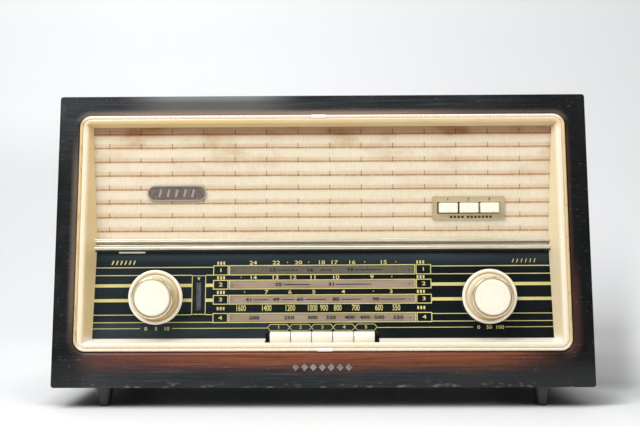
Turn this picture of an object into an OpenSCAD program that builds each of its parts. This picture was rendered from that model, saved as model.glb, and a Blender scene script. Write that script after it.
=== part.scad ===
/* [Cabinet] */
// Width of the wooden cabinet
cab_w = 560; // [530:1:620]
// Height of the cabinet above its feet
cab_h = 306; // [300:1:340]
// Depth of the cabinet along its bottom
cab_d = 240; // [232:1:280]
// Backward lean of the front, in degrees
front_lean = 5.3; // [5:0.1:6]
// Thickness of the plywood walls
wall_t = 12; // [10:0.5:14]
// Rounding of the cabinet's long edges
edge_r = 3; // [1:0.5:5]
// Height of the feet
foot_h = 22; // [16:1:30]
// Radius of a foot at its top
foot_r = 10; // [8:0.5:12]
// Distance of the foot centres from the cabinet's sides
foot_inset = 50; // [40:1:70]

/* [Front frame] */
// Thickness of the veneered front board
frame_t = 8; // [6:0.5:8.5]
// Width of its side members
frame_side = 21.6; // [18:0.2:24]
// Width of its top member
frame_top = 20.6; // [19:0.2:26]
// Width of its bottom member
frame_bottom = 36.5; // [33:0.5:40]
// Corner radius of its opening
opening_r = 12.5; // [11:0.5:16]
// Round-over of the wood along the opening
roundover_r = 4; // [2:0.5:5]

/* [Bezel] */
// Width of the rim: bead, groove and rounded crest together
lip_w = 9; // [8.6:0.1:9.6]
// Width of the trim bead round the bezel
bead_w = 3; // [2.6:0.1:3.2]
// How far the bead and the crest stand proud of the wood
lip_rise = 0.8; // [0.4:0.1:1.4]
// Length of the sleeves over the bead's two joints
joiner_l = 15.5; // [12:0.5:20]
// Flare of the bezel's side walls, in degrees
flare = 22; // [16:1:24]
// Flare of its top and bottom walls, in degrees
end_flare = 14.5; // [12:0.5:18]
// Wall thickness of the bezel moulding
bezel_t = 2.4; // [1.8:0.1:3]
// Depth of the grille behind the front, at its top edge
grille_depth = 8.8; // [8.6:0.2:12]

/* [Dial] */
// Depth of the dial glass behind the front, at its bottom edge
dial_depth = 16.2; // [15.6:0.2:17.4]
// Visible height of the dial glass
dial_h = 92.5; // [90:0.5:96]
// Thickness of the dial glass
glass_t = 3; // [2.5:0.1:3.4]
// Height of the gilt rail above the glass
rail_h = 13.3; // [11:0.1:15]
// How far the rail stands in front of the glass
rail_proud = 4; // [3:0.1:5]
// How far it stands in front of the grille cloth
rail_depth = 5.4; // [5:0.1:6]
// Half the length of the tuning scale
scale_half = 98; // [94:1:100]
// Travel of the pointer
pointer_travel = 180; // [170:1:182]
// Place of the pointer on the scale
pointer_x = 48; // [-60:1:70]

/* [Knobs] */
// Distance of each knob from the middle
knob_x = 175.4; // [172:0.2:190]
// Height of the knob shafts above the cabinet's bottom
knob_z = 91.8; // [88:0.2:94]
// Radius of the knob skirts
knob_r = 28.7; // [26:0.1:31]
// Length of a knob from skirt to face
knob_h = 25; // [21:0.2:26]
// Radius of the knob face
knob_face_r = 17.4; // [15:0.2:18]
// Radius of the knob shafts
shaft_r = 3; // [2.5:0.1:3.4]

/* [Keys and buttons] */
// Distance from one band key to the next
key_pitch = 21.9; // [20.5:0.1:23]
// Gap between two keys
key_gap = 0.8; // [0.6:0.1:1.2]
// Distance from one tone button to the next
button_pitch = 22; // [21:0.2:24]
// Width of a tone button
button_w = 20; // [18:0.2:20.2]
// Height of a tone button
button_h = 10.8; // [9:0.2:12]
// Travel of a tone button
button_travel = 4; // [2:0.5:4.5]
// Distance of the tone buttons' middle from the bezel's side
tone_inset = 92.9; // [86:0.1:110]

/* [Drive] */
// Radius at which the drive cord runs on the idler pulleys
pulley_path_r = 8; // [7:0.2:9]
// Radius at which the drive cord runs on the tuning shaft
spool_path_r = 4.4; // [4.3:0.1:5]
// Radius of the drive cord
cord_r = 0.5; // [0.4:0.05:0.6]
// Radius of the pulley studs
stud_r = 2; // [1.6:0.1:2.4]

/* [Back] */
// Thickness of the back cover
back_t = 4; // [3:0.2:5]
// Width of the ledge that the back cover lies on
ledge_w = 7; // [6:0.2:8]
// Width of a vent slot
slot_w = 4; // [3:0.2:5]
// Length of a vent slot
slot_l = 38; // [30:1:42]
// Bore radius of the aerial, earth and pickup sockets
jack_r = 2; // [1.8:0.05:2.2]
// Bore radius of the grommet for the mains cord
grommet_r = 3.6; // [3:0.1:4]

/* [Hidden] */
$fn = 48;

KEYS = 5;
BUTTONS = 3;
eps = 0.02;             // overlap that makes a cut run clear of a face
seat_gap = 0.2;         // play of a trim piece in its recess
run_gap = 0.08;         // radial play of a shaft in its bearing
move_gap = 0.5;         // room round a moving piece
over = 60;              // how far a cutting block runs past what it cuts

// Lines of the leaning front: v runs up the front, t is the depth behind it
v0 = frame_bottom / cos(front_lean);
v1 = (cab_h - frame_top) / cos(front_lean);
function front_y(z) = z * tan(front_lean);
function fy(v, t) = v * sin(front_lean) + t * cos(front_lean);
function fz(v, t) = v * cos(front_lean) - t * sin(front_lean);
rim_half = cab_w / 2 - frame_side;
inner_half = rim_half - lip_w;

// Grille: an upright baffle board with its cloth
grille_v = v1 - lip_w - grille_depth * tan(end_flare);
cloth_t = 0.6;
cloth_y = fy(grille_v, grille_depth);
baffle_t = 8;
baffle_y = cloth_y + cloth_t;
baffle_back = baffle_y + baffle_t;

// Dial glass: a plane that leans a little more than the front, up to the rail before the cloth
rail_y = cloth_y - rail_depth;
glass_v = v0 + lip_w + dial_depth * tan(end_flare);
glass_y0 = fy(glass_v, dial_depth);
glass_z0 = fz(glass_v, dial_depth);
glass_lean = asin((rail_y + rail_proud - glass_y0) / dial_h);
function glass_y(z) = glass_y0 + (z - glass_z0) * tan(glass_lean);
glass_edge = 5;         // hidden edge of the glass behind the bezel and the rail
glass_half = inner_half - dial_depth * tan(flare) + glass_edge;
rail_z0 = glass_z0 + dial_h * cos(glass_lean);
rail_z1 = rail_z0 + rail_h;
glazing_top = rail_z0 + glass_edge;
ridge_r = rail_h / 16;  // small ridges of the rail
swell_r = rail_h / 7;   // its broad ridge
hollow_r = rail_h / 2 - 3 * ridge_r - swell_r;
tab_x = -203;           // clip under the rail
tab_l = 28;
tab_h = 1.9;

// Section of the bezel's rim
rim_r = opening_r - seat_gap;
rim_depth = 6;
bead_depth = 3.2;
joiner_t = 0.45;
groove_w = 1.1;
crest_r = 4;
crest_x = opening_r - lip_w + crest_r - 1.2;

// Inside of the cabinet, and the ends of the baffle board and its cloth
inside_half = cab_w / 2 - wall_t;
inside_top = cab_h - wall_t;
baffle_z0 = rail_z0 + rail_h * 0.45;
baffle_z1 = min(inside_top, (baffle_y - frame_t / cos(front_lean)) / tan(front_lean)) - seat_gap;
cloth_z1 = min(baffle_z1, v1 * cos(front_lean) - 2.4);

// Knobs: the skirt clears the leaning glass at its lowest edge
knob_back_y = glass_y(knob_z - knob_r) - 0.6;
knob_face_y = knob_back_y - knob_h;

// Back of the cabinet, and the middle of the whole depth
screw_head_h = 1.8;
rear_y = cab_d + screw_head_h;
mid_y = round(50 * (knob_face_y + rear_y)) / 100;

// Steel dial frame behind the scale
light_gap = 12;         // from the glass to the scale plate
plate_t = 1.2;
sheet_t = 1.5;          // steel sheet of the dial frame, key rack and chassis
plate_half = 119.5;
plate_w0 = 6;
plate_w1 = dial_h - 6;
dial_frame_y = glass_y(rail_z0) + glass_t + light_gap + plate_t + 7;
dial_frame_back = dial_frame_y + sheet_t;
dial_frame_half = knob_x + 30;
cord_y = dial_frame_back + 8.5;
drum_t = 7;
chassis_y0 = cord_y + drum_t / 2 + 4.5;
chassis_half = dial_frame_half + 10;
apron_y1 = cab_d - back_t - 12;

// Tuning drive: centres of the cord's loop, clockwise as seen from the front
drum_path_r = pointer_travel / PI;
drum_x = -(KEYS * key_pitch / 2 + 2 + drum_path_r + 2);
drum_z = wall_t + 3 + drum_path_r + 1.5;
drum_flange = 1.5;
deck_z = drum_z - 25;   // height of the chassis deck
run_z = drum_z + drum_path_r + drum_flange + 5.2;   // height of the cord's upper run
left_x = drum_x - drum_path_r - pulley_path_r - 9;
right_x = 140;
loop = [
    [left_x, run_z - pulley_path_r, pulley_path_r],
    [right_x, run_z - pulley_path_r, pulley_path_r],
    [knob_x, knob_z, spool_path_r],
    [drum_x, drum_z, drum_path_r]];
cord_gap = 0.3;         // the cord lies this far off each groove
rod_r = 2;
rod_z = run_z + 8;
lug_x = scale_half + 14;
carriage_half = 7;

// Band keys: they swing on one rod behind the dial glass
key_cap_y = fy(v0, 4.2);
key_cap_z1 = glass_z0 + 9.9;
key_cap_z0 = frame_bottom + 6.5;
key_notch_half = KEYS * key_pitch / 2 + 4.8;
key_axis_y = key_cap_y + 44.4;
key_axis_z = glass_z0 + 0.4;
key_arm_h = 6;
key_rod_r = 1.5;        // radius of the keys' pivot rod

// Tone buttons
tone_x = inner_half - tone_inset;
tone_z = rail_z1 + 32.2;
plate_w = BUTTONS * button_pitch + 11;
plate_h = button_h + 13.7;
escutcheon_t = 1.6;

// Tuning capacitor
gang_y0 = chassis_y0 + 3;
gang_plates = 14;
gang_pitch = 2.4;
gang_plate_t = 0.7;
gang_r = 19;
gang_base = gang_r + 3;
gang_len = gang_plates * gang_pitch + 10;
rotor_turn = (pointer_travel / 2 - pointer_x) / drum_path_r * 180 / PI;

// Speaker
spk_x = -70;
spk_r = min(65, (baffle_z1 - baffle_z0) / 2 - 3);
spk_z = (baffle_z0 + baffle_z1) / 2;
spk_depth = 46;

// Tuning eye, standing behind the glass
eye_r = 9.5;
eye_x = -(plate_half + 2 + eye_r);
eye_z0 = glass_z0 + 16;
eye_h = 56;
eye_socket_y = glass_y(eye_z0 + eye_h) + glass_t + 1 + eye_r;

// Scale plate, pointer and drive wheels
plate_low_z = glass_z0 + plate_w0 * cos(glass_lean) + 3;
plate_high_z = glass_z0 + plate_w1 * cos(glass_lean) - 3;
frame_top_z = rod_z + rod_r + 2;
arm_z = run_z + 2.6;
needle_top = (arm_z + 1 - glass_z0) / cos(glass_lean);
pulley_half = 3;
bush_r = shaft_r + 2.5;
drum_groove_r = drum_path_r - cord_r - cord_gap;
cap_r = knob_face_r + 1.5;
ring_gap = 1;
ring_r = cap_r + ring_gap + 1.3;
skirt_lip_r = 1.6;

// Badge, ornament and tone switch
badge_x = -inner_half + 93.6;
badge_l = 63;
badge_w = 16.4;
badge_z = rail_z1 + 49.1;
ornament_w = 64;
ornament_v = v0 - 16.1;
stem_w = 9;
stem_h = 4;
stem_in = 6;
button_proud = 5.6;

// On the chassis: three signal tubes, the output tube and the rectifier, and the rod aerial
tube_places = [[-20, chassis_y0 + 34], [35, chassis_y0 + 62], [80, chassis_y0 + 30],
    [-80, chassis_y0 + 96], [100, chassis_y0 + 98]];
tube_heights = [48, 48, 52, 62, 60];
aerial_x = 110;
aerial_y = cab_d - 50;
aerial_z = inside_top - 30;

// Sockets, grommet, covers, screws and feet
jack_pitch = 19;
jack_x = -20;
jack_z = (wall_t + deck_z) / 2;
jack_wall = 2.4;
jack_y1 = cab_d - back_t - 1;   // mouths of the sockets, just inside the back cover
jack_l = jack_y1 - apron_y1 - 0.5;
grommet_x = 140;
grommet_seat_r = grommet_r + 3;
screw_r = 1.6;
screw_l = 12;
ledge_mid = ledge_w / 2;
back_screw_places = [for (x = [-1, 0, 1], z = [wall_t - ledge_mid, inside_top + ledge_mid])
        [x * (inside_half - 30), z],
    for (s = [-1, 1]) [s * (inside_half + ledge_mid), cab_h / 2]];
foot_pin_r = 4;
foot_pin_h = 8;
foot_places = [for (x = [-1, 1], y = [24, cab_d - 30]) [x * (cab_w / 2 - foot_inset), y]];

// Shapes used more than once

// Cabinet coordinates to the part's own: centred in depth from the knob faces to the rear, on its feet
module place() translate([0, -mid_y, foot_h]) children();

// Panel axes: x across, y up the panel, z out towards the viewer
module on_panel(y, z, lean) translate([0, y, z]) rotate([90 - lean, 0, 0]) children();
module on_front() on_panel(0, 0, front_lean) children();
module on_glass() on_panel(glass_y0, glass_z0, glass_lean) children();
module on_cloth(z) on_panel(cloth_y, z, 0) children();

// Extrudes an outline of depth and height points across the width w
module across(w) rotate([90, 0, 90]) translate([0, 0, -w / 2]) linear_extrude(w) children();

module box_xyz(x0, x1, y0, y1, z0, z1) translate([x0, y0, z0]) cube([x1 - x0, y1 - y0, z1 - z0]);

// A cylinder along the depth axis, from y0 to y1
module rod_y(r, y0, y1) translate([0, y0, 0]) rotate([-90, 0, 0]) cylinder(r = r, h = y1 - y0);

function arc(cx, cy, r, a0, a1, n) =
    [for (i = [0:n]) [cx + r * cos(a0 + (a1 - a0) * i / n), cy + r * sin(a0 + (a1 - a0) * i / n)]];

module rounded_rect(w, h, r) {
    square([w - 2 * r, h], center = true);
    square([w, h - 2 * r], center = true);
    for (x = [-1, 1], y = [-1, 1]) translate([x * (w / 2 - r), y * (h / 2 - r)]) circle(r);
}

module stadium(l, w) {
    square([l - w, w], center = true);
    for (x = [-1, 1]) translate([x * (l - w) / 2, 0]) circle(w / 2);
}

// Sweeps a profile round a rounded rectangle. In the profile, x runs from the corner's centre out
// to r, and y stands off the panel.
module frame_sweep(w, h, r) {
    for (i = [0:3]) {
        half_x = (i % 2 == 0 ? w : h) / 2 - r;
        half_y = (i % 2 == 0 ? h : w) / 2 - r;
        rotate([0, 0, 90 * i]) {
            translate([half_x, half_y, 0]) rotate_extrude(angle = 90) children();
            translate([half_x, half_y, 0]) rotate([90, 0, 0]) linear_extrude(2 * half_y) children();
        }
    }
}

// The cabinet's outline seen from the front, as a bar along its depth
module cabinet_bar() translate([0, -over, cab_h / 2]) rotate([-90, 0, 0])
    linear_extrude(cab_d + 2 * over) rounded_rect(cab_w, cab_h, edge_r);

// The flared space inside the bezel, larger by grow on each side
module bezel_space(grow, t0, t1) {
    half0 = inner_half + grow - t0 * tan(flare);
    half1 = inner_half + grow - t1 * tan(flare);
    low0 = v0 + lip_w - grow + t0 * tan(end_flare);
    low1 = v0 + lip_w - grow + t1 * tan(end_flare);
    high0 = v1 - lip_w + grow - t0 * tan(end_flare);
    high1 = v1 - lip_w + grow - t1 * tan(end_flare);
    on_front() intersection() {
        translate([0, v1 + over, 0]) rotate([90, 0, 0]) linear_extrude(v1 + 2 * over)
            polygon([[-half0, -t0], [half0, -t0], [half1, -t1], [-half1, -t1]]);
        rotate([90, 0, 90]) translate([0, 0, -cab_w]) linear_extrude(2 * cab_w)
            polygon([[low0, -t0], [high0, -t0], [high1, -t1], [low1, -t1]]);
    }
}

// Cabinet and front

module cabinet_case() color("saddlebrown") place() difference() {
    intersection() {
        across(cab_w) polygon([[frame_t / cos(front_lean), 0], [cab_d, 0], [cab_d, cab_h],
            [front_y(cab_h) + frame_t / cos(front_lean), cab_h]]);
        cabinet_bar();
    }
    box_xyz(-inside_half, inside_half, -over, cab_d + over, wall_t, inside_top);
    box_xyz(-inside_half - ledge_w, inside_half + ledge_w, cab_d - back_t, cab_d + over,
        wall_t - ledge_w, inside_top + ledge_w);
    for (x = [-120:20:120]) translate([x, (chassis_y0 + apron_y1) / 2, -eps]) rotate(90)
        linear_extrude(wall_t + 1) stadium(70, slot_w);
    for (p = foot_places) translate([p[0], p[1], -eps]) cylinder(r = foot_pin_r, h = foot_pin_h + eps);
    for (p = back_screw_places) translate([p[0], 0, p[1]])
        rod_y(screw_r, cab_d - back_t - screw_l, cab_d);
}

module front_frame() color("#2a1a14") place() difference() {
    intersection() {
        across(cab_w) polygon([[0, 0], [frame_t / cos(front_lean), 0],
            [front_y(cab_h) + frame_t / cos(front_lean), cab_h], [front_y(cab_h), cab_h]]);
        cabinet_bar();
    }
    on_front() translate([0, (v0 + v1) / 2, -over]) linear_extrude(2 * over)
        rounded_rect(2 * rim_half, v1 - v0, opening_r);
    on_front() translate([0, (v0 + v1) / 2, 0])
        frame_sweep(2 * (rim_half + roundover_r), v1 - v0 + 2 * roundover_r, opening_r + roundover_r)
            difference() {
                translate([opening_r - eps, -roundover_r]) square(roundover_r + eps + 1);
                translate([opening_r + roundover_r, -roundover_r]) circle(roundover_r);
                translate([opening_r + roundover_r, -over]) square([over, 2 * over]);
            }
}

// Moulded surround: a rounded crest that follows the wood, and flared walls with mitred corners
module front_bezel() color("#e8d3a0") place() difference() {
    union() {
        bezel_space(bezel_t, 0.6, 60);
        on_opening() frame_sweep(2 * (rim_half - seat_gap), v1 - v0 - 2 * seat_gap, rim_r)
            polygon(concat([[rim_r, -rim_depth], [rim_r, -bead_depth], [rim_r - bead_w - groove_w, -bead_depth],
                [rim_r - bead_w - groove_w, -1]], arc(crest_x, lip_rise - crest_r, crest_r, 68, 180, 9),
                [[crest_x - crest_r, -rim_depth]]));
    }
    bezel_space(0, -over, 90);
    behind_front_glazing();
    key_notch();
}

module on_opening() on_front() translate([0, (v0 + v1) / 2, 0]) children();

module bead_section() {
    translate([rim_r - bead_w, -bead_depth]) square([bead_w, bead_depth + lip_rise - bead_w / 2]);
    bead_circle(0);
}
module bead_circle(g) translate([rim_r - bead_w / 2, lip_rise - bead_w / 2]) circle(bead_w / 2 + g);

// Half-round bead in two halves, left and right, with their joints at the middle
module trim_bead() color("#e4dcc4") place() on_opening() difference() {
    frame_sweep(2 * (rim_half - seat_gap), v1 - v0 - 2 * seat_gap, rim_r) bead_section();
    for (s = [-1, 1]) translate([joint_x(s), s * (v1 - v0) / 2, 0]) cube([0.2, 20, 20], center = true);
}
function joint_x(s) = s > 0 ? -3.5 : 2.7;

// Half-round sleeves over the two joints of the bead
module bead_joiners() color("#f4f0ea") place() on_opening() for (s = [-1, 1])
    rotate(90 - s * 90) translate([s * joint_x(s) - joiner_l / 2, (v1 - v0) / 2 - seat_gap - rim_r, 0])
        rotate([90, 0, 90]) linear_extrude(joiner_l) difference() {
            bead_circle(joiner_t);
            bead_circle(0);
            translate([rim_r - 2 * bead_w, lip_rise - 2 * bead_w]) square([3 * bead_w, 1.5 * bead_w]);
        }

// All that lies behind the cloth and the glass, where the bezel has to end
module behind_front_glazing() across(2 * cab_w) polygon([[glass_y(-over), -over], [cab_d, -over],
    [cab_d, cab_h], [cloth_y, cab_h], [cloth_y, glazing_top], [glass_y(glazing_top), glazing_top]]);

// Room for the band keys through the bezel and the glass, deeper below for their travel
module key_notch() {
    box_xyz(-key_notch_half, key_notch_half, fy(v0 + lip_w, 0.5), cab_d, key_cap_z0 + 1, glass_z0 + 7.5);
    box_xyz(-key_notch_half, key_notch_half, key_cap_y - 0.6, cab_d, frame_bottom + 1.6, key_cap_z0 + 2);
}

module baffle_board() color("#8a6b45") place() difference() {
    box_xyz(-inside_half, inside_half, baffle_y, baffle_back, baffle_z0, baffle_z1);
    translate([spk_x, 0, spk_z]) rod_y(spk_r - 9, 0, cab_d);
    tone_hole();
}
module tone_hole() translate([tone_x, 0, tone_z]) rotate([-90, 0, 0])
    linear_extrude(baffle_back + 1) square([BUTTONS * button_pitch + 1, button_h + 1.6], center = true);

module grille_cloth() color("#f0e2c0") place() difference() {
    box_xyz(-rim_half + 2, rim_half - 2, cloth_y, cloth_y + cloth_t, baffle_z0 + 1, cloth_z1);
    tone_hole();
}

// Gilt rail: a small ridge, a broad ridge, a hollow and two small ridges, from the bottom up
function ridge(h, r) = arc(rail_y + swell_r, rail_z0 + h, r, 262, 98, 8);
module dial_rail() color("#d8c68a") place() {
    intersection() {
        across(2 * cab_w) difference() {
            polygon(concat([[cloth_y, rail_z0]], ridge(ridge_r, ridge_r), ridge(2 * ridge_r + swell_r, swell_r),
                arc(rail_y + swell_r, rail_z0 + 2 * (ridge_r + swell_r) + hollow_r, hollow_r, -82, 82, 10),
                ridge(rail_h - 3 * ridge_r, ridge_r), ridge(rail_h - ridge_r, ridge_r),
                [[cloth_y, rail_z0 + rail_h]]));
            polygon([[glass_y(rail_z0 - 1) - seat_gap, rail_z0 - 1],
                [glass_y(glazing_top + 1) - seat_gap, glazing_top + 1],
                [glass_y(rail_z0) + 20, glazing_top + 1], [glass_y(rail_z0) + 20, rail_z0 - 1]]);
        }
        bezel_space(-seat_gap, -over / 2, 60);
    }
    box_xyz(tab_x - tab_l / 2, tab_x + tab_l / 2, rail_y + swell_r, glass_y(rail_z0 - tab_h) - seat_gap,
        rail_z0 - tab_h, rail_z0 + 0.5);
}

module dial_glass() color("#20282a", 0.8) place() difference() {
    on_glass() translate([-glass_half, -glass_edge, -glass_t])
        cube([2 * glass_half, dial_h + 2 * glass_edge - 1, glass_t]);
    key_notch();
    for (x = [-knob_x, knob_x]) translate([x, 0, knob_z]) rod_y(shaft_r + 3, 0, over);
}

// Scale plate behind the glass, bent back at both ends to the dial frame
module scale_plate() color("#d8cdb8") place() {
    on_glass() translate([-plate_half, plate_w0, -glass_t - light_gap - plate_t])
        cube([2 * plate_half, plate_w1 - plate_w0, plate_t]);
    for (s = [-1, 1]) translate([s * (plate_half - plate_t / 2), 0, 0]) across(plate_t)
        polygon([[glass_y(plate_low_z) + glass_t + light_gap - 6, plate_low_z], [dial_frame_y, plate_low_z],
            [dial_frame_y, plate_high_z], [glass_y(plate_high_z) + glass_t + light_gap - 6, plate_high_z]]);
}

// Sheet-steel frame that carries the drive, the bush and the volume control
module dial_frame() color("#9aa0a4") place() {
    difference() {
        union() {
            box_xyz(-dial_frame_half, dial_frame_half, dial_frame_y, dial_frame_back, wall_t, frame_top_z);
            for (s = [-1, 1]) box_xyz(min(s * dial_frame_half, s * (dial_frame_half - sheet_t)),
                max(s * dial_frame_half, s * (dial_frame_half - sheet_t)), dial_frame_y, chassis_y0, wall_t, deck_z);
            for (s = [-1, 1]) translate([s * lug_x, 0, 0]) box_xyz(-sheet_t, sheet_t, dial_frame_back - eps,
                cord_y + rod_r + 2, rod_z - rod_r - 2, frame_top_z);
            for (i = [0, 1]) translate([loop[i][0], 0, loop[i][1]]) {
                rod_y(stud_r + 2, dial_frame_back - eps, cord_y - pulley_half - 0.4);
                rod_y(stud_r, dial_frame_back - eps, cord_y + pulley_half + 1.5);
            }
        }
        box_xyz(-lug_x + 3, lug_x - 3, -over, cord_y, run_z - 9, cab_h);
        box_xyz(-key_notch_half - 1.5, key_notch_half + 1.5, -over, cord_y, -over, glass_z0 + 22);
        translate([knob_x, 0, knob_z]) rod_y(bush_r, -over, cab_d);
        for (s = [-1, 1]) translate([s * lug_x, cord_y, rod_z]) rotate([0, 90, 0])
            cylinder(r = rod_r, h = 8, center = true);
        box_xyz(eye_x - 13, eye_x + 13, -over, cord_y - drum_t, deck_z + 4, run_z - 14);
    }
    // shelf for the tuning eye's socket
    translate([eye_x, 0, 0]) difference() {
        box_xyz(-14, -plate_half - 1 - eye_x, eye_socket_y - 11, dial_frame_y + eps, eye_z0 - 7.5, eye_z0 - 6);
        translate([0, eye_socket_y, eye_z0 - 10]) cylinder(r = 8.05, h = 10);
    }
}

module tuning_bush() color("#c8a860") place() translate([knob_x, 0, knob_z]) difference() {
    union() {
        rod_y(bush_r, dial_frame_y - 3, dial_frame_back + 2);
        rod_y(bush_r + 2.5, dial_frame_y - 3, dial_frame_y);
    }
    rod_y(shaft_r + run_gap, 0, cab_d);
}

// Trim on the front

module badge_plate() color("#5a4c4c") place() on_cloth(badge_z) translate([badge_x, 0, 0]) {
    difference() {
        linear_extrude(escutcheon_t) stadium(badge_l, badge_w);
        translate([0, 0, escutcheon_t - 0.5]) linear_extrude(1) stadium(badge_l - 2.4, badge_w - 2.4);
    }
    for (i = [-2:2]) translate([i * badge_l * 0.14, 0, escutcheon_t - 0.5 - eps])
        linear_extrude(0.5) rotate(-15) square([badge_l * 0.035, badge_w * 0.5], center = true);
}

// A row of small lozenges on the wood below the dial
module front_ornament() color("#c8c4bc") place() on_front()
    for (i = [-3:3]) translate([i * ornament_w / 7, ornament_v, 0])
        linear_extrude(1.6) polygon([[-ornament_w / 17, 0], [0, -3.9], [ornament_w / 17, 0], [0, 3.9]]);

module tone_plate() color("#b0a68c") place() on_cloth(tone_z) translate([tone_x, 0, 0])
    difference() {
        linear_extrude(escutcheon_t) rounded_rect(plate_w, plate_h, 1.2);
        translate([0, 0, -1]) linear_extrude(escutcheon_t + 2)
            square([BUTTONS * button_pitch + 1, button_h + 1.6], center = true);
    }

// Switch body behind the baffle, with a slot for each button's stem
module tone_switch() color("#6b4a2c") place() translate([tone_x, 0, tone_z]) difference() {
    box_xyz(-plate_w / 2, plate_w / 2, baffle_back, baffle_back + 24, -12, 12);
    for (i = [0:BUTTONS - 1]) translate([(i - (BUTTONS - 1) / 2) * button_pitch, 0, 0])
        box_xyz(-stem_w / 2 - move_gap / 2, stem_w / 2 + move_gap / 2, baffle_back - 1,
            baffle_back + stem_in + button_travel + 1, -stem_h / 2 - move_gap / 2, stem_h / 2 + move_gap / 2);
}

module tone_button(i) color("#fbf6e4") place()
    translate([tone_x + (i - (BUTTONS + 1) / 2) * button_pitch, 0, tone_z]) {
        translate([0, cloth_y - escutcheon_t - button_proud, 0]) rotate([-90, 0, 0]) {
            linear_extrude(1) rounded_rect(button_w - 1.6, button_h - 1.6, 0.8);
            translate([0, 0, 0.8]) linear_extrude(button_proud + escutcheon_t + 3)
                rounded_rect(button_w, button_h, 1.2);
        }
        box_xyz(-stem_w / 2, stem_w / 2, cloth_y + 3, baffle_back + stem_in, -stem_h / 2, stem_h / 2);
    }

// Chassis and what stands on it

module chassis() color("#a8acac") place() difference() {
    box_xyz(-chassis_half, chassis_half, chassis_y0, apron_y1, wall_t, deck_z);
    box_xyz(-chassis_half + sheet_t, chassis_half - sheet_t, chassis_y0 + sheet_t, apron_y1 - sheet_t,
        -over, deck_z - sheet_t);
    for (p = tube_places) translate([p[0], p[1], deck_z - 5]) cylinder(r = 8.05, h = 10);
    at_jacks() rod_y(jack_r + jack_wall + 0.1, apron_y1 - 5, apron_y1 + 5);
}

// One noval tube: a flared foot, a straight bulb and a drawn tip
module noval_tube(r, h) {
    rotate_extrude() polygon(concat([[0, 0], [r - 2, 0], [r - 0.4, 1.5], [r, 4]],
        arc(r - 6, h - 8, 6, 0, 72, 6), [[2.2, h], [1.2, h + 3.4], [0, h + 4]]));
}
module radio_tubes() color("#c4ccd0", 0.6) place()
    for (i = [0:4]) translate([tube_places[i][0], tube_places[i][1], deck_z + 4])
        noval_tube(10.5, tube_heights[i]);

module noval_socket() {
    difference() {
        union() {
            cylinder(r = 11.5, h = 4);
            translate([0, 0, -6]) cylinder(r = 8, h = 7);
        }
        translate([0, 0, -7]) cylinder(r = 3, h = 6);
    }
}
module tube_sockets() color("#3a2c20") place() {
    for (p = tube_places) translate([p[0], p[1], deck_z]) noval_socket();
    translate([eye_x, eye_socket_y, eye_z0 - 6]) noval_socket();
}

module if_cans() color("#c8ccce") place()
    for (p = [[10, chassis_y0 + 100], [60, chassis_y0 + 100]]) translate([p[0], p[1], deck_z])
        difference() {
            linear_extrude(58) rounded_rect(30, 30, 4);
            translate([0, 0, 54]) cylinder(r = 3, h = 5);
        }

module filter_capacitor() color("#d0d2d0") place()
    translate([chassis_half - 65.4, chassis_y0 + 26, deck_z]) rotate_extrude()
        polygon([[0, 0], [15, 0], [15, 4], [14.2, 5], [15, 6], [15, 64], [13.5, 66], [12, 64.6], [0, 64.6]]);

// Mains transformer: a laminated core round a wound bobbin, on two feet
module mains_transformer() color("#4c4440") place() translate([chassis_half - 50.4, chassis_y0 + 86, deck_z]) {
    difference() {
        box_xyz(-38, 38, -20, 20, 0, 64);
        for (s = [-1, 1]) translate([s * 19, 0, 0]) box_xyz(-6.3, 6.3, -21, 21, 12.7, 51.3);
    }
    difference() {
        box_xyz(-25, 25, -32, 32, 12.9, 51.1);
        box_xyz(-12.5, 12.5, -20.2, 20.2, 12, 52);
        for (s = [-1, 1]) translate([s * 31.4, 0, 0]) box_xyz(-6.3, 6.3, -20.2, 20.2, 0, 64);
        box_xyz(-26, 26, -20.2, 20.2, 51, 64);
    }
}

// The gang capacitor: end plates, tie bars and fixed half plates round the rotor's shaft
module capacitor_stator() color("#b8bcbc") place() translate([drum_x, gang_y0, drum_z]) {
    difference() {
        for (y = [0, gang_len - 1.6]) translate([0, y, 0]) box_xyz(-23, 23, 0, 1.6, -gang_base, 21);
        rod_y(shaft_r + run_gap, -1, gang_len + 1);
    }
    for (s = [-1, 1]) translate([s * 21, 0, -17.5]) rod_y(1.8, 1, gang_len - 1);
    for (s = [-1, 1]) translate([s * 21, 0, 18.5]) rod_y(1.8, 1, gang_len - 1);
    for (i = [0:gang_plates]) translate([0, 4.4 + i * gang_pitch - gang_plate_t / 2, 0]) difference() {
        union() {
            rotate([-90, 0, 0]) linear_extrude(gang_plate_t) intersection() {
                circle(gang_r + 1);
                translate([-gang_r - 2, 0]) square([2 * gang_r + 4, gang_r + 2]);
            }
            box_xyz(-21, 21, 0, gang_plate_t, -18.5, -14.5);
        }
        rod_y(5.5, -1, 3);
    }
    for (x = [-18, 18], y = [5, gang_len - 5]) translate([x, y, deck_z - drum_z])
        cylinder(r = 3, h = drum_z - deck_z - gang_base + eps);
    box_xyz(-23, 23, 0, gang_len, -gang_base, -gang_base + 1.6);
}

module capacitor_rotor() color("#c8cac6") place() translate([drum_x, 0, drum_z]) {
    rod_y(shaft_r, cord_y - drum_t / 2 - 1, gang_y0 + gang_len + 2);
    rotate([0, -rotor_turn, 0]) for (i = [0:gang_plates - 1])
        translate([0, gang_y0 + 4.4 + (i + 0.5) * gang_pitch - gang_plate_t / 2, 0]) rotate([-90, 0, 0])
            linear_extrude(gang_plate_t) intersection() {
                circle(gang_r);
                translate([-gang_r - 1, -2]) square([2 * gang_r + 2, gang_r + 3]);
            }
}

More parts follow.
